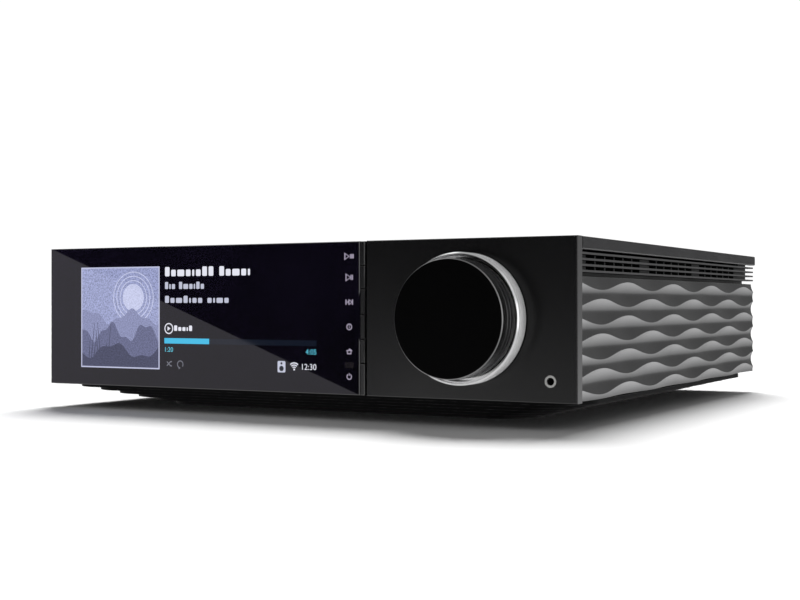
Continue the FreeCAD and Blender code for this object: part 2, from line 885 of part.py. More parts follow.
def terminal_boss(gap, d0, d1):
    """Boss of the terminal block that passes the rear panel, larger by a gap."""
    margin = block_boss_margin + gap
    return block(min(post_places()) - margin, max(post_places()) + margin, d0, d1,
                 post_z - margin, post_z + margin)


def rear_panel():
    """Flat panel with openings for the sockets."""
    panel = block(-half_tray, half_tray, tray_rear, rear_face, deck_z, lid_z)
    cuts = [inlet_box(fit_gap, tray_rear, rear_face), phono_box(fit_gap, tray_rear, rear_face),
            terminal_boss(fit_gap, tray_rear, rear_face)]
    for x, (width, height, _) in port_list():
        cuts.append(block(x - width / 2 - fit_gap, x + width / 2 + fit_gap, tray_rear, rear_face,
                          port_z - height / 2 - fit_gap, port_z + height / 2 + fit_gap))
    cuts += [aerial_body(x, fit_gap, tray_rear) for x in aerial_x]
    return panel.cut(cuts)


def mains_inlet():
    """Moulded inlet with three blades, and the rocker's housing above it."""
    front = rear_face - inlet_body_depth
    outer = rear_face + inlet_flange_thickness
    body = inlet_box(0, front, rear_face)
    flange = block(inlet_x - inlet_flange_width / 2, inlet_x + inlet_flange_width / 2, rear_face, outer,
                   inlet_z - inlet_flange_height / 2, inlet_z + inlet_flange_height / 2)
    inlet = fuse_all([body, flange])
    half_x = socket_width / 2
    half_z = socket_height / 2
    z_mid = inlet_z - socket_drop
    mouth = [(inlet_x - half_x, z_mid - half_z), (inlet_x + half_x, z_mid - half_z),
             (inlet_x + half_x, z_mid + half_z - socket_chamfer),
             (inlet_x + half_x - socket_chamfer, z_mid + half_z),
             (inlet_x - half_x + socket_chamfer, z_mid + half_z),
             (inlet_x - half_x, z_mid + half_z - socket_chamfer)]
    inlet = inlet.cut(extruded_xz(mouth, outer - socket_depth, outer))
    blades = []
    for dx, dz in ((-blade_pitch, -blade_offset), (0, blade_offset), (blade_pitch, -blade_offset)):
        blades.append(block(inlet_x + dx - blade_width / 2, inlet_x + dx + blade_width / 2,
                            outer - socket_depth, outer - socket_depth + blade_length,
                            z_mid + dz - blade_height / 2, z_mid + dz + blade_height / 2))
    inlet = fuse_all([inlet] + blades)
    axis_depth = outer - rocker_setback
    z_axis = inlet_z + rocker_rise
    half = rocker_length / 2 + seat_gap
    inlet = inlet.cut(rod_x(axis_depth, z_axis, inlet_x - half, inlet_x + half, rocker_radius + seat_gap))
    half += rocker_pin_length
    pin_radius = rocker_pin_radius + running_gap
    return inlet.cut(rod_x(axis_depth, z_axis, inlet_x - half, inlet_x + half, pin_radius))


def power_rocker():
    """Rocker with two shallow faces, at rest with its lower face pressed in."""
    axis_depth = rear_face + inlet_flange_thickness - rocker_setback
    z_axis = inlet_z + rocker_rise
    half = rocker_length / 2
    drum = rod_x(axis_depth, z_axis, inlet_x - half, inlet_x + half, rocker_radius)
    reach = 2 * rocker_radius
    slope = math.tan(math.radians(rocker_tilt)) * reach
    face = rocker_face + axis_depth
    rear = axis_depth - rocker_back
    corners = [(face, z_axis), (face + slope, z_axis + reach), (rear, z_axis + reach),
               (rear, z_axis - reach), (face + slope, z_axis - reach)]
    outline = [Vector(inlet_x - half, back(depth), z) for depth, z in corners]
    keep = Part.Face(Part.makePolygon(outline + [outline[0]])).extrude(Vector(rocker_length, 0, 0))
    rocker = drum.common(keep)
    pin_half = half + rocker_pin_length
    rocker = rocker.fuse(rod_x(axis_depth, z_axis, inlet_x - pin_half, inlet_x + pin_half, rocker_pin_radius))
    rocker.rotate(Vector(inlet_x, back(axis_depth), z_axis), Vector(1, 0, 0), -rocker_tilt)
    return rocker


def terminal_block():
    """Moulded plate with a boss through the rear panel and a bore for each stud."""
    places = post_places()
    top = rear_face + block_thickness
    plate = block(min(places) - block_margin, max(places) + block_margin, rear_face, top,
                  post_z - block_height / 2, post_z + block_height / 2)
    boss = terminal_boss(0, rear_face - block_boss_length, rear_face)
    bores = [rod_y(x, post_z, rear_face - block_boss_length, top, stud_radius) for x in places]
    return fuse_all([plate, boss]).cut(bores)


def terminal_studs():
    """Plated studs, bored for a plug from behind."""
    end = chassis_depth + terminal_protrusion - stud_recess
    studs = []
    for x in post_places():
        stud = rod_y(x, post_z, tray_rear - stud_inner_length, end, stud_radius)
        studs.append(stud.cut(rod_y(x, post_z, end - banana_depth, end, banana_bore / 2)))
    return Part.makeCompound(studs)


def collar_start():
    """Depth of the inner face of a clamping collar at rest."""
    return rear_face + block_thickness + seat_gap


def post_collar(x):
    """Clamping collar that travels with its cap."""
    start = collar_start()
    collar = hexagon_y(x, post_z, start, start + collar_thickness, collar_flats)
    return collar.cut(rod_y(x, post_z, start, start + collar_thickness, stud_radius + running_gap))


def post_cap(x):
    """Hexagonal screw cap."""
    start = collar_start() + collar_thickness + seat_gap
    end = chassis_depth + terminal_protrusion
    cap = hexagon_y(x, post_z, start, end, cap_flats)
    return cap.cut(rod_y(x, post_z, start, end, stud_radius + running_gap))


def phono_block():
    """Moulded carrier on the main board, with an insulator for each barrel."""
    start = tray_rear - phono_block_depth
    end = rear_face + phono_barrel_length - phono_insulator_recess
    face = phono_box(0, start, rear_face)
    box = face.BoundBox
    leg = block(box.XMin, box.XMax, start, tray_rear - tray_sheet - seat_gap, board_top, box.ZMin)
    insulator_radius = phono_barrel / 2 - phono_barrel_wall
    insulators = [rod_y(x, z, rear_face, end, insulator_radius) for x, z in phono_places()]
    holes = [rod_y(x, z, end - phono_pin_depth, end, phono_pin_hole / 2) for x, z in phono_places()]
    return fuse_all([face, leg] + insulators).cut(holes)


def phono_barrels():
    """Plated barrels of the phono sockets."""
    end = rear_face + phono_barrel_length
    inner = phono_barrel / 2 - phono_barrel_wall
    barrels = []
    for x, z in phono_places():
        barrel = rod_y(x, z, rear_face, end, phono_barrel / 2)
        barrels.append(barrel.cut(rod_y(x, z, rear_face, end, inner)))
    return Part.makeCompound(barrels)


def port_shell(x, size, hole):
    """Socket shell standing on the main board, with its mouth at the rear."""
    width, height, length = size
    depth = length - port_floor
    outer = rear_face + port_proud
    shell = block(x - width / 2, x + width / 2, outer - length, outer,
                  port_z - height / 2, port_z + height / 2)
    leg = block(x - width / 2, x + width / 2, outer - length, tray_rear - tray_sheet - seat_gap,
                board_top, port_z - height / 2)
    shell = fuse_all([shell, leg])
    return shell.cut(block(x - hole[0] / 2, x + hole[0] / 2, outer - depth, outer,
                           port_z - hole[1] / 2, port_z + hole[1] / 2))


def optical_port():
    """Optical socket with a square mouth."""
    return port_shell(optical_x, optical_size, (optical_hole, optical_hole))


def tongued_port(x, size, hole, drop):
    """Port with a contact tongue inside its mouth."""
    shell = port_shell(x, size, hole)
    outer = rear_face + port_proud
    z_mid = port_z + drop
    tongue = block(x - hole[0] / 2 + port_wall, x + hole[0] / 2 - port_wall, outer - size[2] + port_wall,
                   outer - port_wall, z_mid - tongue_thickness / 2, z_mid + tongue_thickness / 2)
    return fuse_all([shell, tongue])


def hdmi_port():
    """Flat socket with a middle tongue."""
    return tongued_port(hdmi_x, hdmi_size, hdmi_hole, 0)


def usb_port():
    """Flat socket with an upper tongue."""
    return tongued_port(usb_x, usb_size, usb_hole, usb_hole[1] / 2 - tongue_thickness)


def ethernet_port():
    """Network socket."""
    return port_shell(ethernet_x, ethernet_size, ethernet_hole)


def aerial_body(x, gap, start):
    """Square body of an aerial socket, from inside to the panel's outer face, larger by a gap."""
    half = aerial_body_side / 2 + gap
    return block(x - half, x + half, start, rear_face, aerial_z - half, aerial_z + half)


def aerial_connectors():
    """Two threaded aerial sockets, each with a hexagon against the panel."""
    sockets = []
    seat = rear_face + aerial_nut_thickness
    end = seat + aerial_thread_length
    for x in aerial_x:
        body = aerial_body(x, 0, tray_rear - aerial_tail)
        nut = hexagon_y(x, aerial_z, rear_face, seat, aerial_nut_flats)
        thread = rod_y(x, aerial_z, seat, end, aerial_radius)
        bore = rod_y(x, aerial_z, end - aerial_bore_length, end, aerial_radius - aerial_wall)
        sockets.append(fuse_all([body, nut, thread]).cut(bore))
    return Part.makeCompound(sockets)


# Inside

def board_corners(box):
    """Standoff places under one board."""
    x0, x1, d0, d1 = box
    return [(x, depth) for x in (x0 + standoff_inset, x1 - standoff_inset)
            for depth in (d0 + standoff_inset, d1 - standoff_inset)]


def board_standoffs():
    """Short pillars between the tray and the boards."""
    return Part.makeCompound([hexagon_z(x, depth, floor_z, board_z, standoff_flats)
                              for box in (main_board_box, supply_board_box, amp_board_box)
                              for x, depth in board_corners(box)])


def plain_board(box):
    """Bare board."""
    x0, x1, d0, d1 = box
    return block(x0, x1, d0, d1, board_z, board_top)


def place_on(x, box, offset):
    """X and depth of a place given from an X and from a board's near edge."""
    return (x + offset[0], box[2] + offset[1])


def standing(place, size):
    """Box standing on a board, from its near left corner and its width, length and height."""
    x, depth = place
    width, length, height = size
    return block(x, x + width, depth, depth + length, board_top, board_top + height)


def supply_middle():
    """X of the middle of the mains board."""
    return (supply_board_box[0] + supply_board_box[1]) / 2


def main_board():
    """Main board with its chips and the display connector."""
    d0 = main_board_box[2]
    half = ribbon_width / 2 + ribbon_plug_margin
    chip_size = (chip_side, chip_side, chip_height)
    chips = [standing(place_on(main_board_box[1], main_board_box, offset), chip_size)
             for offset in chip_offsets]
    plug = block(ribbon_x - half, ribbon_x + half, d0, d0 + standoff_inset,
                 board_top, board_top + ribbon_plug_height)
    return fuse_all([plain_board(main_board_box), plug] + chips)


def streaming_module():
    """Screened radio and streaming module on the main board."""
    return standing(place_on(main_board_box[0], main_board_box, stream_offset), stream_size)


def power_supply_board():
    """Mains board with a filter choke and a heat spreader."""
    choke = standing(place_on(supply_board_box[0], supply_board_box, choke_offset), choke_size)
    spreader = standing(place_on(supply_middle(), supply_board_box, spreader_offset), spreader_size)
    return fuse_all([plain_board(supply_board_box), choke, spreader])


def supply_transformer():
    """Ferrite core with its winding on a foot."""
    x, depth = place_on(supply_middle(), supply_board_box, transformer_offset)
    width, length, height = transformer_size
    foot_top = board_top + transformer_foot_height
    coil_half = width / 2 - transformer_coil_inset
    foot_half = width / 2 - transformer_foot_inset
    core = block(x - width / 2, x + width / 2, depth - transformer_core_width / 2,
                 depth + transformer_core_width / 2, board_top, board_top + height)
    coil = block(x - coil_half, x + coil_half, depth - length / 2, depth + length / 2,
                 foot_top, board_top + height - transformer_foot_height)
    foot = block(x - foot_half, x + foot_half, depth - length / 2, depth + length / 2, board_top, foot_top)
    return fuse_all([core, coil, foot])


def supply_capacitors():
    """Round reservoir capacitor and a film capacitor."""
    edge = supply_board_box[0]
    x, depth = place_on(edge, supply_board_box, capacitor_offset)
    can = rod_z(x, depth, board_top, board_top + capacitor_length, capacitor_radius)
    film = standing(place_on(edge, supply_board_box, film_capacitor_offset), film_capacitor_size)
    return Part.makeCompound([can, film])


def amplifier_board():
    """Switching amplifier board with an output coil and a bridge for each channel."""
    x0, x1, d0, _ = amp_board_box
    parts = [plain_board(amp_board_box)]
    for k in range(2):
        depth = d0 + channel_inset + k * channel_pitch
        parts.append(standing((x0 + coil_inset, depth), (coil_side, coil_side, coil_height)))
        bridge_x = x1 - coil_inset - bridge_side
        parts.append(standing((bridge_x, depth), (bridge_side, bridge_side, bridge_height)))
    return fuse_all(parts)


def heat_sink():
    """Finned extrusion standing on the tray beside the amplifier board."""
    x0, x1, d0, d1 = sink_box
    plate = block(x0, x1, d0, d1, floor_z, floor_z + sink_base)
    pitch = (x1 - x0 - sink_fin_thickness) / (sink_fins - 1)
    fins = [block(x0 + k * pitch, x0 + k * pitch + sink_fin_thickness, d0, d1, floor_z, floor_z + sink_height)
            for k in range(sink_fins)]
    return fuse_all([plate] + fins)


def build_all():
    """Every piece under the name of its node."""
    right_panel = side_panel()
    right_grille = vent_grille()
    right_keepers = panel_keepers()
    pieces = {
        "base_plinth": base_plinth(),
        "rubber_feet": rubber_feet(),
        "bottom_tray": bottom_tray(),
        "chassis_magnets": chassis_magnets(),
        "side_panel_right": right_panel,
        "side_panel_left": mirrored(right_panel),
        "panel_keepers_right": right_keepers,
        "panel_keepers_left": mirrored(right_keepers),
        "vent_grille_right": right_grille,
        "vent_grille_left": mirrored(right_grille),
        "top_cover": top_cover(),
        "front_plate": front_plate(),
        "display_glass": display_glass(),
        "display_carrier": display_carrier(),
        "lcd_module": lcd_module(),
        "front_subframe": front_subframe(),
        "display_ribbon": display_ribbon(),
        "front_board": front_board(),
        "tact_switches": tact_switches(),
        "headphone_jack": headphone_jack(),
        "volume_encoder": volume_encoder(),
        "volume_ring": volume_ring(),
        "select_disc": select_disc(),
        "select_shaft": select_shaft(),
        "rear_panel": rear_panel(),
        "mains_inlet": mains_inlet(),
        "power_rocker": power_rocker(),
        "terminal_block": terminal_block(),
        "terminal_studs": terminal_studs(),
        "phono_block": phono_block(),
        "phono_barrels": phono_barrels(),
        "optical_port": optical_port(),
        "hdmi_port": hdmi_port(),
        "usb_port": usb_port(),
        "ethernet_port": ethernet_port(),
        "aerial_connectors": aerial_connectors(),
        "board_standoffs": board_standoffs(),
        "main_board": main_board(),
        "streaming_module": streaming_module(),
        "power_supply_board": power_supply_board(),
        "supply_transformer": supply_transformer(),
        "supply_capacitors": supply_capacitors(),
        "amplifier_board": amplifier_board(),
        "heat_sink": heat_sink(),
    }
    for name, low, top, middle in button_centres():
        pieces["button_" + name] = front_button(low, top, middle)
    for index, x in enumerate(post_places(), 1):
        pieces["post_collar_%d" % index] = post_collar(x)
        pieces["post_cap_%d" % index] = post_cap(x)
    return pieces


def main():
    """Write one STEP file for each piece."""
    os.makedirs("parts", exist_ok=True)
    for name, shape in build_all().items():
        shape.exportStep(os.path.join("parts", name + ".step"))


main()
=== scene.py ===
"""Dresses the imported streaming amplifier: new meshes, finishes, studio and camera."""
import json
import logging
import math
from dataclasses import dataclass
from enum import Enum
from typing import Callable, Iterable, Self, Sequence, Union

import bmesh
import bpy
from mathutils import Matrix, Vector

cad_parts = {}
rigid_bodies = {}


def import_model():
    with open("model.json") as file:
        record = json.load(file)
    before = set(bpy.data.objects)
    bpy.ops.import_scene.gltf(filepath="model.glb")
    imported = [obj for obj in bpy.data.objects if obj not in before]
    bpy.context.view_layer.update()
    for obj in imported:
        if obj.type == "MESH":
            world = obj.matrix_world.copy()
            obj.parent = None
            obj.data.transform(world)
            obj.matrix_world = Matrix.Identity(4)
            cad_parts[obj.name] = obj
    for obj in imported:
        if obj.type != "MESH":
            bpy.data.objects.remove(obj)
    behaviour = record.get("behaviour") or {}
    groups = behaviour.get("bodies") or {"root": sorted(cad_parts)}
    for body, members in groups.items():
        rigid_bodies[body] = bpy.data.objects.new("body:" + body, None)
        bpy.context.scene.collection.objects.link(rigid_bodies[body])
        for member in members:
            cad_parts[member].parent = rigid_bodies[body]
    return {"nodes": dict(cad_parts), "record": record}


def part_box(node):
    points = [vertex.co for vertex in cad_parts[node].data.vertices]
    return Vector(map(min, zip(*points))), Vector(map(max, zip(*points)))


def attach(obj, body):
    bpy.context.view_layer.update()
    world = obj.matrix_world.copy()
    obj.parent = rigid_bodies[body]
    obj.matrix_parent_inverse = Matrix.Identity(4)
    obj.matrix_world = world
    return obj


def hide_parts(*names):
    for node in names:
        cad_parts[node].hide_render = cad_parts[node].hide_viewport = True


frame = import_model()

log = logging.getLogger("amplifier")

Point = tuple[float, float]
Triple = tuple[float, float, float]
Colour = Triple
Slope = tuple[float, ...]
Thing = bpy.types.Object
Material = bpy.types.Material
Node = bpy.types.Node
Tree = bpy.types.NodeTree
Output = bpy.types.NodeSocket
Socket = Union[float, Colour, Output]

MM = 0.001
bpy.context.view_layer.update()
FACE_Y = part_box("front_plate")[0].y
CHASSIS = "chassis"
UPRIGHT = (math.pi / 2, 0, 0)
WHOLE_RING = (0.0, 360.0)
SAME_LEVEL = 1e-7
SAME_PLACE = 2e-7


def spot(x: float, depth: float, z: float) -> Vector:
    """Turn millimetres right of the middle, behind the front face and up into a point of the frame."""
    return Vector((x * MM, FACE_Y + depth * MM, z * MM))


def grey(level: float) -> Colour:
    """Give an even grey."""
    return level, level, level


def shaded(colour: Colour, share: float) -> Colour:
    """Make a colour lighter or darker by a share of itself."""
    return tuple(min(1.0, part * (1 + share)) for part in colour)


class Side(Enum):
    """Side of the case."""

    RIGHT = "right"
    LEFT = "left"


class Align(Enum):
    """End of its base line that a row of figures is placed by."""

    LEFT = "LEFT"
    RIGHT = "RIGHT"


class Workpiece:
    """One new piece, started from primitives and shaped in edit mode.

    Sizes and places are in millimetres: X and Z, and the depth behind the front face.
    """

    corner_steps = 4

    def __init__(self, name: str) -> None:
        """Start with nothing selected.

        Args:
            name: Name of the finished piece.
        """
        self.name = name
        self.thing: Thing | None = None
        bpy.ops.object.select_all(action="DESELECT")

    def take(self) -> Self:
        """Make a first primitive the piece itself and go into edit mode.

        Returns:
            The same piece.
        """
        if self.thing is None:
            self.thing = bpy.context.object
            self.thing.name = self.name
            self.thing.data.name = self.name
            bpy.ops.object.transform_apply(location=True, rotation=True, scale=True)
            bpy.ops.object.mode_set(mode="EDIT")
            bpy.ops.mesh.select_mode(type="VERT")
            bpy.ops.mesh.select_all(action="SELECT")
        return self

    def alone(self) -> None:
        """Leave edit mode with only this piece selected and active."""
        bpy.ops.object.mode_set(mode="OBJECT")
        bpy.ops.object.select_all(action="DESELECT")
        self.thing.select_set(True)
        bpy.context.view_layer.objects.active = self.thing

    def outwards(self) -> Self:
        """Turn every face outwards.

        Returns:
            The same piece.
        """
        bpy.ops.mesh.select_mode(type="VERT")
        bpy.ops.mesh.select_all(action="SELECT")
        bpy.ops.mesh.normals_make_consistent(inside=False)
        return self

    def block(self, low: Vector, high: Vector) -> Self:
        """Add a box between two corners of the frame."""
        bpy.ops.mesh.primitive_cube_add(size=1, location=(low + high) / 2, scale=high - low)
        return self.take()

    def patch(self, low: Point, high: Point, depth: float, corner: float = 0.0) -> Self:
        """Add a flat patch that faces the front or the rear.

        Args:
            low: Its lowest X and Z.
            high: Its highest X and Z.
            depth: Its depth.
            corner: Radius of its corners.

        Returns:
            The same piece.
        """
        middle = spot((low[0] + high[0]) / 2, depth, (low[1] + high[1]) / 2)
        bpy.ops.mesh.primitive_plane_add(size=MM, location=middle, rotation=UPRIGHT)
        self.take()
        bpy.ops.transform.resize(value=(high[0] - low[0], 1, high[1] - low[1]), center_override=middle)
        if corner:
            bpy.ops.mesh.bevel(offset=corner * MM, segments=self.corner_steps, affect="VERTICES")
        return self

    def disc(self, centre: Point, radius: float, depth: float, sides: int = 32, turn: float = 0.0) -> Self:
        """Add a flat disc or a regular polygon that faces the front.

        Args:
            centre: Its X and Z.
            radius: Its radius.
            depth: Its depth.
            sides: Number of its sides.
            turn: Angle that it is turned by, in radians.

        Returns:
            The same piece.
        """
        bpy.ops.mesh.primitive_circle_add(vertices=sides, radius=radius * MM, fill_type="NGON",
                                          location=spot(centre[0], depth, centre[1]),
                                          rotation=(UPRIGHT[0], turn, 0))
        return self.take()

    def arrow(self, centre: Point, radius: float, depth: float) -> Self:
        """Add a triangle that points to the right."""
        return self.disc(centre, radius, depth, 3, math.pi / 2)

    def ring(self, centre: Point, radii: Point, depth: float, arc: Point = WHOLE_RING,
             sides: int = 48) -> Self:
        """Add a flat ring or a part of one.

        Args:
            centre: Its X and Z.
            radii: Its inner and outer radius.
            depth: Its depth.
            arc: First and last angle in degrees, counted from +X towards +Z.
            sides: Number of sides of the whole ring.

        Returns:
            The same piece.
        """
        middle = spot(centre[0], depth, centre[1])
        bpy.ops.mesh.primitive_circle_add(vertices=sides, radius=radii[1] * MM, fill_type="NOTHING",
                                          location=middle, rotation=UPRIGHT)
        self.take()
        bpy.ops.mesh.extrude_edges_move()
        self.scaled(radii[0] / radii[1], middle)
        if arc != WHOLE_RING:
            def outside(face: bmesh.types.BMFace) -> bool:
                """Tell whether a face of this ring lies outside the arc.

                Args:
                    face: The face.

                Returns:
                    Whether it lies outside.
                """
                place = face.calc_center_median() - middle
                angle = math.degrees(math.atan2(place.z, place.x)) % 360
                near = abs(place.y) < SAME_LEVEL and place.length < radii[1] * MM + SAME_PLACE
                return near and (angle - arc[0]) % 360 > arc[1] - arc[0]
            self.select(outside)
            bpy.ops.mesh.delete(type="FACE")
        return self

    def reshape(self, place: Callable[[int, Vector], Vector]) -> Self:
        """Move the selected points one by one.

        Args:
            place: Gives a point's new place from its number and its old place.

        Returns:
            The same piece.
        """
        mesh = bmesh.from_edit_mesh(self.thing.data)
        chosen = [vertex for vertex in mesh.verts if vertex.select]
        for number, vertex in enumerate(chosen):
            vertex.co = place(number, vertex.co)
        bmesh.update_edit_mesh(self.thing.data)
        return self

    def outline(self, points: Sequence[Point], depth: float) -> Self:
        """Add a flat polygon through given points.

        Args:
            points: X and Z of each corner, in order.
            depth: Its depth.

        Returns:
            The same piece.
        """
        bpy.ops.mesh.primitive_circle_add(vertices=len(points), radius=MM, fill_type="NGON",
                                          location=spot(0, depth, 0), rotation=UPRIGHT)
        self.take()
        return self.reshape(lambda number, _: spot(points[number][0], depth, points[number][1]))

    def turned(self, profile: Sequence[Point], x: float, z: float, steps: int) -> Self:
        """Draw a profile point by point and spin it about an axis along Y.

        Args:
            profile: Radius and depth of each point.
            x: X of the axis.
            z: Height of the axis.
            steps: Number of steps of the full turn.

        Returns:
            The same piece.
        """
        places = [spot(x + radius, depth, z) for radius, depth in profile]
        bpy.ops.mesh.primitive_plane_add(size=MM / 10, location=places[0])
        self.take()
        bpy.ops.mesh.merge(type="CENTER")
        for here, there in zip(places, places[1:]):
            bpy.ops.mesh.extrude_vertices_move(TRANSFORM_OT_translate={"value": there - here})
        bpy.ops.mesh.select_linked()
        bpy.ops.mesh.spin(steps=steps, angle=2 * math.pi, center=spot(x, 0, z), axis=(0, 1, 0))
        bpy.ops.mesh.select_all(action="SELECT")
        bpy.ops.mesh.remove_doubles(threshold=SAME_PLACE)
        return self

    def select(self, wanted: Callable[[bmesh.types.BMFace], bool]) -> Self:
        """Select only the faces that a test wants.

        Args:
            wanted: Test for one face.

        Returns:
            The same piece.
        """
        bpy.ops.mesh.select_mode(type="FACE")
        bpy.ops.mesh.select_all(action="DESELECT")
        mesh = bmesh.from_edit_mesh(self.thing.data)
        for face in mesh.faces:
            face.select_set(wanted(face))
        bmesh.update_edit_mesh(self.thing.data)
        return self

    def thicken(self, depth: float) -> Self:
        """Extrude everything along Y.

        Args:
            depth: Distance, positive towards the rear.

        Returns:
            The same piece.
        """
        bpy.ops.mesh.select_mode(type="FACE")
        bpy.ops.mesh.select_all(action="SELECT")
        bpy.ops.mesh.extrude_region_move(TRANSFORM_OT_translate={"value": (0, depth * MM, 0)})
        return self

    def scaled(self, share: float, centre: Vector) -> Self:
        """Scale what is selected across and upwards, about a point."""
        bpy.ops.transform.resize(value=(share, 1, share), center_override=centre)
        return self

    def bevelled(self, width: float, segments: int = 2) -> Self:
        """Round every sharp edge with an applied Bevel modifier.

        Args:
            width: Width of the bevel.
            segments: Number of its steps.

        Returns:
            The same piece.
        """
        bpy.ops.object.mode_set(mode="OBJECT")
        bevel = self.thing.modifiers.new("soft edges", "BEVEL")
        bevel.width = width * MM
        bevel.segments = segments
        bevel.limit_method = "ANGLE"
        bpy.ops.object.modifier_apply(modifier=bevel.name)
        bpy.ops.object.mode_set(mode="EDIT")
        return self

    def without(self, cutter: "Workpiece") -> Self:
        """Cut another piece out of this one and remove it.

        Args:
            cutter: The piece that is cut out.

        Returns:
            The same piece.
        """
        self.alone()
        cut = self.thing.modifiers.new("pockets", "BOOLEAN")
        cut.operation = "DIFFERENCE"
        cut.object = cutter.thing
        bpy.ops.object.modifier_apply(modifier=cut.name)
        bpy.data.objects.remove(cutter.thing)
        bpy.ops.object.mode_set(mode="EDIT")
        return self

    def closed(self) -> Self:
        """Finish a cutter: its faces look outwards and edit mode ends.

        Returns:
            The same piece.
        """
        self.outwards()
        bpy.ops.object.mode_set(mode="OBJECT")
        return self

    def done(self, slot: str, material: Material, angle: float | None = 30.0, body: str = CHASSIS,
             replaces: Iterable[str] = ()) -> Thing:
        """Close the piece, dress it and hand it to its body.

        Args:
            slot: Material slot of the record; not used.
            material: Its material.
            angle: Edges sharper than this stay sharp, in degrees; None leaves all flat.
            body: Body that it moves with.
            replaces: CAD nodes that it stands for.

        Returns:
            The finished object.
        """
        self.outwards()
        self.alone()
        bpy.ops.object.transform_apply(location=True, rotation=True, scale=True)
        if angle is not None:
            bpy.ops.object.shade_smooth_by_angle(angle=math.radians(angle))
        return hand_over(self.thing, body, material, replaces)

    def laid(self, thickness: float, slot: str, material: Material, angle: float | None = None,
             body: str = CHASSIS) -> Thing:
        """Give a flat sign its thickness and finish it."""
        return self.thicken(thickness).done(slot, material, angle, body)


def hand_over(thing: Thing, body: str, material: Material, replaces: Iterable[str] = ()) -> Thing:
    """Give an object its material and its body.

    Args:
        thing: The finished object.
        body: Body that it moves with.
        material: Its material.
        replaces: CAD nodes that it stands for.

    Returns:
        The same object.
    """
    thing.data.materials.clear()
    thing.data.materials.append(material)
    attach(thing, body)
    nodes = list(replaces)
    if nodes:
        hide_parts(*nodes)
    log.info("%s rides on %s", thing.name, body)
    return thing


def copied(thing: Thing, name: str, matrix: Matrix) -> Thing:
    """Copy a finished piece of the case with a mesh of its own.

    Args:
        thing: The piece to copy.
        name: Name of the copy.
        matrix: Where the copy goes, as a change of place.

    Returns:
        The copy.
    """
    twin = thing.copy()
    twin.data = thing.data.copy()
    twin.name = name
    twin.data.name = name
    bpy.context.scene.collection.objects.link(twin)
    twin.data.transform(matrix)
    return hand_over(twin, CHASSIS, thing.data.materials[0])


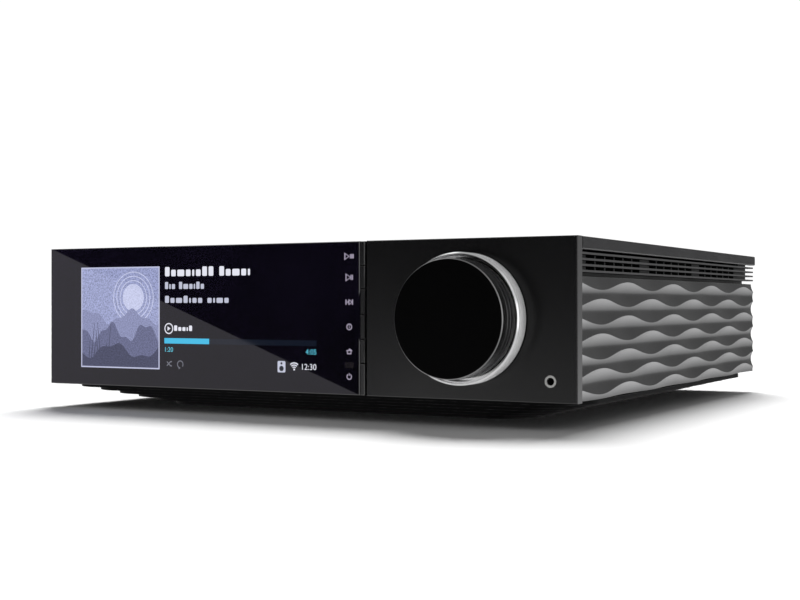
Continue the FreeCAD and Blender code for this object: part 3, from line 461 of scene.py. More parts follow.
class Desk:
    """Places and joins the nodes of one shader tree."""

    def __init__(self, tree: Tree) -> None:
        """Start with an empty tree."""
        self.tree = tree
        tree.nodes.clear()

    def add(self, kind: str, settings: dict | None = None, **inputs: Socket) -> Node:
        """Add a node.

        Args:
            kind: Blender's name of the node type.
            settings: Properties of the node.
            inputs: Values or sockets for its inputs, with _ for a space in their names.

        Returns:
            The node.
        """
        node = self.tree.nodes.new(kind)
        for key, value in (settings or {}).items():
            setattr(node, key, value)
        self.fill(node, **inputs)
        return node

    def fill(self, node: Node, **inputs: Socket) -> None:
        """Give the inputs of a node values or sockets, with _ for a space in their names."""
        for key, value in inputs.items():
            self.put(node.inputs[key.replace("_", " ")], value)

    def put(self, target: Output, value: Socket) -> None:
        """Give an input a value or join it to a socket.

        Args:
            target: The input.
            value: A value, a colour or another node's output.
        """
        if isinstance(value, Output):
            self.tree.links.new(value, target)
        else:
            target.default_value = (*value, 1.0) if isinstance(value, tuple) else value

    def calc(self, operation: str, first: Socket, second: Socket = 0.0, clamp: bool = False) -> Output:
        """Add a Math node.

        Args:
            operation: Blender's name of the operation.
            first: First value or socket.
            second: Second value or socket.
            clamp: Whether the result is kept between 0 and 1.

        Returns:
            Its output.
        """
        node = self.add("ShaderNodeMath", {"operation": operation, "use_clamp": clamp})
        self.put(node.inputs[0], first)
        self.put(node.inputs[1], second)
        return node.outputs[0]

    def plus(self, first: Socket, second: Socket, clamp: bool = False) -> Output:
        """Add two values."""
        return self.calc("ADD", first, second, clamp)

    def minus(self, first: Socket, second: Socket) -> Output:
        """Take the second value from the first."""
        return self.calc("SUBTRACT", first, second)

    def times(self, first: Socket, second: Socket, clamp: bool = False) -> Output:
        """Multiply two values."""
        return self.calc("MULTIPLY", first, second, clamp)

    def vector(self, operation: str, first: Output, second: Output, result: str) -> Output:
        """Add a Vector Math node.

        Args:
            operation: Blender's name of the operation.
            first: First vector.
            second: Second vector.
            result: Name of the output that is wanted.

        Returns:
            That output.
        """
        node = self.add("ShaderNodeVectorMath", {"operation": operation})
        self.put(node.inputs[0], first)
        self.put(node.inputs[1], second)
        return node.outputs[result]

    def split(self, vector: Output, axis: str) -> Output:
        """Take one component out of a vector."""
        return self.add("ShaderNodeSeparateXYZ", Vector=vector).outputs[axis]

    def joined(self, given: Node, word: str) -> Output:
        """Join the three outputs of one name, for X, Y and Z, to a vector."""
        parts = {axis: given.outputs[f"{word} {axis}"] for axis in "XYZ"}
        return self.add("ShaderNodeCombineXYZ", **parts).outputs[0]

    def place(self) -> Output:
        """Give the place on the object's own coordinates."""
        return self.add("ShaderNodeTexCoord").outputs["Object"]

    def facing(self) -> Output:
        """Give the direction that the surface faces."""
        return self.add("ShaderNodeNewGeometry").outputs["Normal"]

    def noise(self, vector: Output, **inputs: Socket) -> Output:
        """Add a noise that follows a vector."""
        return self.add("ShaderNodeTexNoise", Vector=vector, **inputs).outputs["Fac"]

    def blend(self, factor: Socket, first: Socket, second: Socket) -> Output:
        """Mix two colours.

        Args:
            factor: Share of the second colour.
            first: First colour.
            second: Second colour.

        Returns:
            The mixed colour.
        """
        node = self.add("ShaderNodeMix", {"data_type": "RGBA"})
        factor_input, first_input, second_input, colour_output = 0, 6, 7, 2
        self.put(node.inputs[factor_input], factor)
        self.put(node.inputs[first_input], first)
        self.put(node.inputs[second_input], second)
        return node.outputs[colour_output]

    def spread(self, value: Socket, low: float, high: float, first: float = 0.0,
               second: float = 1.0) -> Output:
        """Map a range onto another one, clamped.

        Args:
            value: The value to map.
            low: Start of its range.
            high: End of its range.
            first: Result at the start.
            second: Result at the end.

        Returns:
            The mapped value.
        """
        node = self.add("ShaderNodeMapRange", Value=value, From_Min=low, From_Max=high, To_Min=first,
                        To_Max=second)
        return node.outputs[0]

    def group(self, tree: Tree, **inputs: Socket) -> Node:
        """Place a shared group with its own values."""
        return self.add("ShaderNodeGroup", {"node_tree": tree}, **inputs)


def new_material(name: str, kind: str = "ShaderNodeBsdfPrincipled") -> tuple[Material, Desk, Node]:
    """Start a material with one shader.

    Args:
        name: Name of the material.
        kind: Blender's name of the shader.

    Returns:
        The material, the desk of its tree and its shader.
    """
    material = bpy.data.materials.new(name)
    material.use_nodes = True
    desk = Desk(material.node_tree)
    shader = desk.add(kind)
    desk.add("ShaderNodeOutputMaterial", Surface=shader.outputs[0])
    return material, desk, shader


class Effects:
    """Shader node groups that the finishes share."""

    noise_middle: Slope = (0.3, 0.7)
    edge_bend: Slope = (0.995, 0.8)
    edge_breaks: Slope = (0.35, 0.65)
    dust_slope: Slope = (0.4, 1.0)
    dust_specks: Slope = (0.5, 0.75)
    flank_sharpness = 20.0

    def __init__(self) -> None:
        """Build every group once."""
        self.grain = self.build_grain()
        self.edges = self.build_edges()
        self.dust = self.build_dust()
        self.handling = self.build_handling()
        self.turning = self.build_turning()
        self.level = self.build_level()
        self.flank = self.build_flank()

    @staticmethod
    def start(name: str, outputs: Sequence[str], **inputs: float) -> tuple[Desk, Node, Node]:
        """Start a group with named sockets.

        Args:
            name: Name of the group.
            outputs: Names of its outputs.
            inputs: Defaults of its inputs, with _ for a space in their names.

        Returns:
            The desk of its tree, its input node and its output node.
        """
        tree = bpy.data.node_groups.new(name, "ShaderNodeTree")
        for key, value in inputs.items():
            socket = tree.interface.new_socket(key.replace("_", " "), in_out="INPUT",
                                               socket_type="NodeSocketFloat")
            socket.default_value = value
        for key in outputs:
            tree.interface.new_socket(key, in_out="OUTPUT", socket_type="NodeSocketFloat")
        desk = Desk(tree)
        return desk, desk.add("NodeGroupInput"), desk.add("NodeGroupOutput")

    def build_grain(self) -> Tree:
        """Fine grain that can be drawn out along an axis, and a slow mottle.

        Returns:
            The group.
        """
        desk, given, out = self.start("Surface grain", ("Height", "Mottle"), Scale=3000.0, Stretch_X=1.0,
                                      Stretch_Y=1.0, Stretch_Z=1.0, Mottle_Scale=30.0)
        place = desk.place()
        drawn = desk.vector("MULTIPLY", place, desk.joined(given, "Stretch"), "Vector")
        fine = desk.noise(drawn, Scale=given.outputs["Scale"], Detail=3.0, Roughness=0.6)
        slow = desk.noise(place, Scale=given.outputs["Mottle Scale"], Detail=2.0)
        desk.fill(out, Height=fine, Mottle=slow)
        return desk.tree

    def build_edges(self) -> Tree:
        """Mask of lighter edges, broken up by noise: wear, and on the plinth's tiers a painted highlight.

        Returns:
            The group.
        """
        desk, given, out = self.start("Edge wear and highlight", ("Mask",), Radius=0.0004, Breakup_Scale=250.0)
        rounded = desk.add("ShaderNodeBevel", {"samples": 4}, Radius=given.outputs["Radius"]).outputs[0]
        bend = desk.spread(desk.vector("DOT_PRODUCT", rounded, desk.facing(), "Value"), *self.edge_bend)
        noise = desk.noise(desk.place(), Scale=given.outputs["Breakup Scale"], Detail=4.0)
        desk.fill(out, Mask=desk.times(bend, desk.spread(noise, *self.edge_breaks), True))
        return desk.tree

    def build_dust(self) -> Tree:
        """Mask of fine dust on what faces up.

        Returns:
            The group.
        """
        desk, given, out = self.start("Settled dust", ("Mask",), Amount=0.1, Speck_Scale=900.0)
        upward = desk.spread(desk.split(desk.facing(), "Z"), *self.dust_slope)
        speck = desk.noise(desk.place(), Scale=given.outputs["Speck Scale"], Detail=5.0)
        seen = desk.times(upward, desk.spread(speck, *self.dust_specks))
        desk.fill(out, Mask=desk.times(seen, given.outputs["Amount"], True))
        return desk.tree

    def build_handling(self) -> Tree:
        """Slow smears that change how rough a surface is.

        Returns:
            The group.
        """
        desk, given, out = self.start("Handling", ("Change",), Scale=18.0, Amount=0.05)
        smear = desk.noise(desk.place(), Scale=given.outputs["Scale"], Detail=6.0, Distortion=0.8)
        desk.fill(out, Change=desk.times(desk.minus(smear, 0.5), given.outputs["Amount"]))
        return desk.tree

    def build_turning(self) -> Tree:
        """Fine rings left by a lathe about an axis along Y.

        Returns:
            The group.
        """
        desk, given, out = self.start("Turning marks", ("Height",), Centre_X=0.0, Centre_Z=0.0, Rings=9000.0)
        place = desk.place()
        across = desk.minus(desk.split(place, "X"), given.outputs["Centre X"])
        up = desk.minus(desk.split(place, "Z"), given.outputs["Centre Z"])
        radius = desk.calc("SQRT", desk.plus(desk.times(across, across), desk.times(up, up)))
        line = desk.add("ShaderNodeTexNoise", {"noise_dimensions": "1D"}, Scale=1.0, Detail=2.0,
                        W=desk.times(radius, given.outputs["Rings"]))
        desk.fill(out, Height=line.outputs["Fac"])
        return desk.tree

    def build_level(self) -> Tree:
        """Mask of what lies past a place along one direction.

        Returns:
            The group.
        """
        desk, given, out = self.start("Past a level", ("Mask",), Along_X=0.0, Along_Y=0.0, Along_Z=1.0,
                                      Start=0.0, Soft=0.00005, Both_Sides=0.0)
        signed = desk.vector("DOT_PRODUCT", desk.place(), desk.joined(given, "Along"), "Value")
        folded = desk.minus(desk.calc("ABSOLUTE", signed), signed)
        value = desk.plus(signed, desk.times(folded, given.outputs["Both Sides"]))
        past = desk.minus(value, given.outputs["Start"])
        desk.fill(out, Mask=desk.calc("DIVIDE", past, given.outputs["Soft"], True))
        return desk.tree

    def build_flank(self) -> Tree:
        """Mask of what faces to the left or right.

        Returns:
            The group.
        """
        desk, given, out = self.start("Flank", ("Mask",), Start=0.8)
        across = desk.calc("ABSOLUTE", desk.split(desk.facing(), "X"))
        past = desk.minus(across, given.outputs["Start"])
        desk.fill(out, Mask=desk.times(past, self.flank_sharpness, True))
        return desk.tree


class Grain(Enum):
    """How a surface was worked: stretch of its grain along X, Y and Z."""

    BLASTED = (1.0, 1.0, 1.0)
    DRAWN_Y = (1.0, 0.03, 1.0)
    DRAWN_X = (0.03, 1.0, 1.0)
    DRAWN_Z = (1.0, 1.0, 0.03)


class Way(Enum):
    """Direction in which a second finish begins."""

    ACROSS = (1.0, 0.0, 0.0)
    REARWARD = (0.0, 1.0, 0.0)
    FORWARD = (0.0, -1.0, 0.0)
    UP = (0.0, 0.0, 1.0)


@dataclass(frozen=True)
class Second:
    """Second finish past a level along a way, or on what faces sideways where there is no way."""

    colour: Colour
    roughness: float
    metallic: float
    way: Way | None = None
    start: float = 0.8
    both_sides: bool = False
    soft: float = 0.05

    def mask(self, desk: Desk, effects: Effects) -> Output:
        """Find where it lies.

        Args:
            desk: Desk of the material's tree.
            effects: The shared node groups.

        Returns:
            Its mask.
        """
        if self.way is None:
            return desk.group(effects.flank, Start=self.start).outputs["Mask"]
        along = dict(zip(("Along_X", "Along_Y", "Along_Z"), self.way.value))
        return desk.group(effects.level, **along, Start=self.start, Both_Sides=float(self.both_sides),
                          Soft=self.soft * MM).outputs["Mask"]


@dataclass(frozen=True)
class Finish:
    """One surface finish, made of shared effects round one Principled shader."""

    name: str
    colour: Colour
    roughness: float
    metallic: float = 0.0
    grain: Grain = Grain.BLASTED
    grain_scale: float = 3500.0
    grain_height: float = 0.01
    grain_strength: float = 0.35
    mottle: float = 0.12
    smear: float = 0.06
    edge_colour: Colour | None = None
    edge_radius: float = 0.3
    edge_amount: float = 0.5
    dust: float = 0.0
    dust_colour: Colour = (0.45, 0.43, 0.4)
    dust_roughness: float = 0.4
    specular: float = 0.5
    coat: float = 0.0
    coat_roughness: float = 0.1
    smoothest: float = 0.006
    turning: Point | None = None
    second: Second | None = None

    def build(self, effects: Effects) -> Material:
        """Make the material.

        Args:
            effects: The shared node groups.

        Returns:
            The material.
        """
        material, desk, shader = new_material(self.name)
        stretch = dict(zip(("Stretch_X", "Stretch_Y", "Stretch_Z"), self.grain.value))
        grain = desk.group(effects.grain, Scale=self.grain_scale, **stretch)
        mottle = desk.spread(grain.outputs["Mottle"], *effects.noise_middle)
        fleck = desk.spread(grain.outputs["Height"], *effects.noise_middle, -self.mottle / 2, self.mottle / 2)
        colour = desk.blend(desk.plus(mottle, fleck, True), shaded(self.colour, -self.mottle),
                            shaded(self.colour, self.mottle))
        smear = desk.group(effects.handling, Amount=self.smear)
        rough = desk.plus(smear.outputs["Change"], self.roughness)
        metal: Socket = self.metallic
        if self.second is not None:
            mask = self.second.mask(desk, effects)
            colour = desk.blend(mask, colour, self.second.colour)
            rough = desk.plus(rough, desk.times(mask, self.second.roughness - self.roughness))
            if self.second.metallic != self.metallic:
                metal = desk.spread(mask, 0.0, 1.0, self.metallic, self.second.metallic)
        # Lighter edges: wear on most finishes, and a painted highlight along the plinth's tier edges.
        if self.edge_colour is not None:
            edge_wear_and_highlight = desk.group(effects.edges, Radius=self.edge_radius * MM).outputs["Mask"]
            colour = desk.blend(desk.times(edge_wear_and_highlight, self.edge_amount), colour, self.edge_colour)
        if self.dust:
            dust = desk.group(effects.dust, Amount=self.dust).outputs["Mask"]
            colour = desk.blend(dust, colour, self.dust_colour)
            rough = desk.plus(rough, desk.times(dust, self.dust_roughness))
        height = grain.outputs["Height"]
        if self.turning is not None:
            rings = desk.group(effects.turning, Centre_X=self.turning[0] * MM, Centre_Z=self.turning[1] * MM)
            height = desk.plus(height, rings.outputs["Height"])
        bump = desk.add("ShaderNodeBump", Strength=self.grain_strength, Distance=self.grain_height * MM,
                        Height=height)
        desk.fill(shader, Base_Color=colour, Roughness=desk.calc("MAXIMUM", rough, self.smoothest),
                  Metallic=metal, Specular_IOR_Level=self.specular, Coat_Weight=self.coat,
                  Coat_Roughness=self.coat_roughness, Normal=bump.outputs["Normal"])
        return material


@dataclass(frozen=True)
class Glow:
    """Lit part of the display: a polished black face that gives light."""

    name: str
    colour: Colour
    strength: float = 1.0
    speckle: float = 0.0
    speckle_scale: float = 900.0
    face: Colour = (0.004, 0.004, 0.005)
    roughness: float = 0.04

    def build(self, effects: Effects) -> Material:
        """Make the material.

        Args:
            effects: The shared node groups, for the range of their noise.

        Returns:
            The material.
        """
        material, desk, shader = new_material(self.name)
        noise = desk.noise(desk.place(), Scale=self.speckle_scale, Detail=3.0)
        light = desk.blend(desk.spread(noise, *effects.noise_middle), shaded(self.colour, -self.speckle),
                           shaded(self.colour, self.speckle))
        desk.fill(shader, Base_Color=self.face, Roughness=self.roughness, Emission_Color=light,
                  Emission_Strength=self.strength)
        return material


@dataclass(frozen=True)
class BoardFinish:
    """Printed circuit board: solder mask, copper runs under it and bright pads."""

    name: str
    mask: Colour
    pad_colour: Colour = (0.72, 0.6, 0.36)
    pad_amount: float = 0.8
    track_lift: float = 0.9
    track_height: float = 0.6
    roughness: float = 0.35

    def build(self, effects: Effects) -> Material:
        """Make the material.

        Args:
            effects: The shared node groups.

        Returns:
            The material.
        """
        material, desk, shader = new_material(self.name)
        place = desk.place()
        runs = desk.add("ShaderNodeTexVoronoi", {"distance": "MANHATTAN"}, Vector=place, Scale=130.0)
        lines = desk.add("ShaderNodeTexWave", {"bands_direction": "DIAGONAL"}, Vector=place, Scale=190.0,
                         Distortion=2.0)
        track = desk.times(desk.spread(runs.outputs["Distance"], 0.55, 0.6),
                           desk.spread(lines.outputs["Fac"], 0.45, 0.55))
        dots = desk.add("ShaderNodeTexVoronoi", Vector=place, Scale=320.0)
        pad = desk.times(desk.spread(dots.outputs["Distance"], 0.2, 0.16), self.pad_amount)
        colour = desk.blend(track, self.mask, shaded(self.mask, self.track_lift))
        grain = desk.group(effects.grain, Scale=900.0).outputs["Height"]
        bump = desk.add("ShaderNodeBump", Strength=0.4, Distance=0.03 * MM,
                        Height=desk.plus(desk.times(track, self.track_height), grain))
        desk.fill(shader, Base_Color=desk.blend(pad, colour, self.pad_colour), Metallic=pad,
                  Roughness=self.roughness, Normal=bump.outputs["Normal"])
        return material


class Palette:
    """Every material of the amplifier, by name: one for each slot of the record, and a few more."""

    black: Colour = (0.012, 0.012, 0.013)
    gold: Colour = (0.83, 0.62, 0.28)
    bare: Colour = (0.55, 0.55, 0.56)
    tin: Colour = (0.66, 0.66, 0.65)
    socket_axis: Point = (145.4, 22.8)
    socket_shade_start = 0.6
    port_shade_start = 3.5
    fin_edge = 156.5
    winding_top = 43.5
    can_top = 63.2
    disc_band = -10.5

    def __init__(self) -> None:
        """Build the groups and the materials."""
        low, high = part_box("select_disc")
        self.knob_axis = ((low.x + high.x) / (2 * MM), (low.z + high.z) / (2 * MM))
        effects = Effects()
        looks = (*self.case(), *self.front(), *self.rear(), *self.boards(), *self.small_parts(),
                 *self.display())
        self.materials = {look.name: look.build(effects) for look in looks}

    def __getitem__(self, name: str) -> Material:
        """Look up a material."""
        return self.materials[name]

    def case(self) -> Sequence[Finish]:
        """List the finishes of the case and the side panels.

        Returns:
            The finishes.
        """
        # The outer ends of the grille's fins get a lighter metal: a painted highlight on the fin edges.
        fin_tip_painted_highlight = Second((0.34, 0.34, 0.345), 0.35, 1.0, Way.ACROSS, self.fin_edge * MM, True)
        return (
            # The plinth's black is darker than the other blacks: black plastic, partly painted shade under
            # the body. Its strong edge colour is a painted highlight along the tier edges.
            Finish("plinth_plastic", (0.005, 0.005, 0.0055), 0.5, grain_scale=2600, grain_height=0.02,
                   edge_colour=(0.22, 0.22, 0.225), edge_amount=0.9, dust=0.05, specular=0.08),
            Finish("foot_rubber", grey(0.018), 0.85, grain_scale=1800, grain_height=0.04, mottle=0.2),
            Finish("tray_paint", (0.03, 0.03, 0.032), 0.5, grain_scale=1500, grain_height=0.03,
                   edge_colour=grey(0.2), edge_amount=0.25),
            Finish("magnet_plate", (0.7, 0.69, 0.66), 0.22, 1.0, grain=Grain.DRAWN_Z, smear=0.12,
                   edge_colour=(0.3, 0.29, 0.28)),
            Finish("panel_aluminium", (0.33, 0.33, 0.335), 0.22, 1.0, grain=Grain.DRAWN_Y, grain_scale=4200,
                   grain_height=0.012, grain_strength=0.5, mottle=0.08, smear=0.05,
                   edge_colour=(0.8, 0.8, 0.81), edge_amount=0.6, dust=0.03),
            Finish("keeper_steel", self.bare, 0.35, 1.0, grain=Grain.DRAWN_Z, edge_colour=grey(0.3)),
            Finish("grille_aluminium", (0.1, 0.1, 0.102), 0.4, 1.0, grain=Grain.DRAWN_Y,
                   edge_colour=(0.4, 0.4, 0.41), edge_radius=0.12, edge_amount=0.3, dust=0.06, second=fin_tip_painted_highlight),
            Finish("cover_paint", (0.036, 0.036, 0.038), 0.42, grain_scale=2400, grain_height=0.02,
                   edge_colour=(0.16, 0.16, 0.165), dust=0.05),
            Finish("rear_paint", (0.028, 0.028, 0.03), 0.48, grain_scale=1700, grain_height=0.035,
                   edge_colour=grey(0.3), edge_radius=0.15, edge_amount=0.35, dust=0.05),
        )

    def front(self) -> Sequence[Finish]:
        """List the finishes of the front and the double knob.

        Returns:
            The finishes.
        """
        # Faces that look left or right get a lighter bare metal: a painted sheen on the plate's side edges.
        side_face_painted_sheen = Second((0.4, 0.4, 0.405), 0.35, 1.0)
        # A little way behind the front face the jack's metal turns black: painted shade inside the bore.
        bore = Second(self.black, 0.6, 0.0, Way.REARWARD, FACE_Y + self.socket_shade_start * MM)
        band = Second(grey(0.6), 0.4, 0.2, Way.REARWARD, FACE_Y + self.disc_band * MM, soft=4.0)
        return (
            Finish("front_metal", (0.0045, 0.0045, 0.005), 0.26, grain_scale=3800, grain_height=0.006,
                   smear=0.04, specular=0.35, edge_colour=grey(0.12), edge_radius=0.2, second=side_face_painted_sheen),
            Finish("cover_glass", (0.004, 0.003, 0.008), 0.012, grain_scale=400, grain_height=0.0004,
                   grain_strength=0.01, mottle=0.3, smear=0.006),
            Finish("carrier_plastic", self.black, 0.5, grain_scale=2000, grain_height=0.02,
                   edge_colour=grey(0.06)),
            Finish("display_panel", (0.012, 0.012, 0.02), 0.15, grain_height=0.002, edge_colour=self.bare),
            Finish("ribbon_film", (0.5, 0.24, 0.05), 0.25, grain=Grain.DRAWN_Y, grain_scale=900, mottle=0.35,
                   coat=0.6),
            Finish("switch_plastic", grey(0.02), 0.45, edge_colour=grey(0.3), edge_amount=0.6),
            Finish("button_plastic", (0.01, 0.01, 0.011), 0.25, edge_colour=grey(0.09), edge_radius=0.2,
                   edge_amount=0.7, smear=0.1),
            Finish("jack_metal", (0.45, 0.45, 0.44), 0.25, 1.0, turning=self.socket_axis, smear=0.1,
                   second=bore),
            Finish("encoder_metal", (0.5, 0.5, 0.49), 0.38, 1.0, edge_colour=(0.25, 0.24, 0.22),
                   turning=self.knob_axis),
            Finish("ring_aluminium", (0.6, 0.6, 0.605), 0.22, 1.0, grain_height=0.006, mottle=0.05,
                   turning=self.knob_axis, edge_colour=(0.95, 0.95, 0.96), edge_radius=0.15, edge_amount=0.4),
            Finish("disc_metal", (0.0015, 0.0015, 0.0016), 0.33, grain_height=0.008, turning=self.knob_axis,
                   smear=0.03, specular=0.03),
            Finish("disc_flank", (0.045, 0.045, 0.046), 0.24, 0.85, grain_height=0.008,
                   turning=self.knob_axis, second=band),
            Finish("disc_edge", (0.2, 0.2, 0.202), 0.4, 1.0, grain_height=0.008, turning=self.knob_axis),
        )

    def rear(self) -> Sequence[Finish]:
        """List the finishes of the sockets and terminals at the rear.

        Returns:
            The finishes.
        """
        rear_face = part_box("rear_panel")[1].y
        # A few millimetres inside the rear face the ports' metal turns near black: painted shade deep in the
        # ports.
        depths = Second(grey(0.01), 0.5, 0.0, Way.FORWARD, -(rear_face - self.port_shade_start * MM))
        cap = {"coat": 0.8, "coat_roughness": 0.05, "grain_height": 0.004, "edge_amount": 0.3}
        return (
            Finish("inlet_plastic", self.black, 0.42, grain_scale=2000, edge_colour=grey(0.07)),
            Finish("stud_plate", self.gold, 0.2, 1.0, mottle=0.08, smear=0.12,
                   edge_colour=(0.95, 0.82, 0.55)),
            Finish("collar_metal", (0.78, 0.6, 0.3), 0.24, 1.0, smear=0.12, edge_colour=(0.93, 0.8, 0.52)),
            Finish("cap_red", (0.36, 0.006, 0.006), 0.16, mottle=0.1, edge_colour=(0.6, 0.06, 0.05), **cap),
            Finish("cap_black", grey(0.008), 0.16, edge_colour=grey(0.05), **cap),
            Finish("port_metal", self.tin, 0.3, 1.0, grain=Grain.DRAWN_Z, smear=0.14,
                   edge_colour=(0.35, 0.34, 0.32), edge_amount=0.4, second=depths),
            Finish("optical_plastic", grey(0.012), 0.4, edge_colour=grey(0.06)),
        )

    def boards(self) -> Sequence[Finish | BoardFinish]:
        """List the finishes of the boards and what stands on them.

        Returns:
            The finishes.
        """
        winding = Second((0.55, 0.36, 0.05), 0.3, 0.0, Way.UP, self.winding_top * MM)
        lid = Second(grey(0.6), 0.35, 1.0, Way.UP, self.can_top * MM)
        return (
            BoardFinish("board_laminate", (0.012, 0.075, 0.03)),
            Finish("standoff_brass", (0.7, 0.55, 0.28), 0.35, 1.0, mottle=0.15, smear=0.15,
                   edge_colour=(0.85, 0.7, 0.4)),
            Finish("module_can", self.tin, 0.32, 1.0, grain=Grain.DRAWN_X, smear=0.16,
                   edge_colour=(0.4, 0.4, 0.38)),
            Finish("core_ferrite", (0.05, 0.048, 0.045), 0.55, mottle=0.25, edge_colour=(0.16, 0.15, 0.14),
                   second=winding),
            Finish("capacitor_can", (0.02, 0.025, 0.06), 0.25, coat=0.5, mottle=0.15,
                   edge_colour=(0.3, 0.3, 0.34), second=lid),
            Finish("sink_aluminium", self.bare, 0.34, 1.0, grain=Grain.DRAWN_Y, edge_colour=grey(0.8),
                   smear=0.1),
        )

    def small_parts(self) -> Sequence[Finish]:
        """List the finishes of marks, screws, contacts, lamps and the receiver's window.

        Returns:
            The finishes.
        """
        return (
            Finish("mark_white", grey(0.7), 0.5, mottle=0.2),
            Finish("mark_red", (0.5, 0.02, 0.02), 0.45, mottle=0.2),
            Finish("screw_black", (0.05, 0.05, 0.052), 0.35, 0.8, edge_colour=grey(0.35), smear=0.1),
            Finish("contact_gold", self.gold, 0.25, 1.0, smear=0.1),
            Finish("lamp_green", (0.02, 0.16, 0.03), 0.2, coat=0.5, grain_height=0.004),
            Finish("lamp_amber", (0.3, 0.13, 0.01), 0.2, coat=0.5, grain_height=0.004),
            Finish("receiver_film", (0.012, 0.008, 0.013), 0.08, coat=0.5, mottle=0.2),
        )

    def display(self) -> Sequence[Glow]:
        """List the lights of the display and the key marks.

        Returns:
            The lights.
        """
        return (
            Glow("screen_white", (0.78, 0.79, 0.88)),
            Glow("screen_soft", (0.52, 0.54, 0.66)),
            Glow("screen_dim", (0.16, 0.165, 0.2)),
            Glow("screen_cyan", (0.04, 0.42, 0.66), 1.15),
            Glow("screen_figures", (0.1, 0.5, 0.65), 1.1),
            Glow("screen_rest", (0.004, 0.007, 0.015)),
            Glow("key_mark", (0.36, 0.32, 0.42)),
            Glow("art_edge", (0.52, 0.54, 0.74)),
            Glow("art_sky", (0.31, 0.34, 0.56), 1.0, 0.42, 1300.0),
            Glow("art_sun", (0.55, 0.58, 0.8), 1.0, 0.18, 1300.0),
            Glow("art_far", (0.24, 0.26, 0.44), 1.0, 0.4, 1500.0),
            Glow("art_mid", (0.12, 0.13, 0.24), 1.0, 0.45, 1500.0),
            Glow("art_near", (0.05, 0.055, 0.11), 1.0, 0.5, 1500.0),
        )

    def dress_nodes(self) -> None:
        """Give every CAD node the material of its slot."""
        for row in frame["record"]["subparts"]:
            thing = frame["nodes"][row["node"]]
            thing.data.materials.clear()
            thing.data.materials.append(self[row["material_slot"]])
            log.info("%s wears %s", row["node"], row["material_slot"])


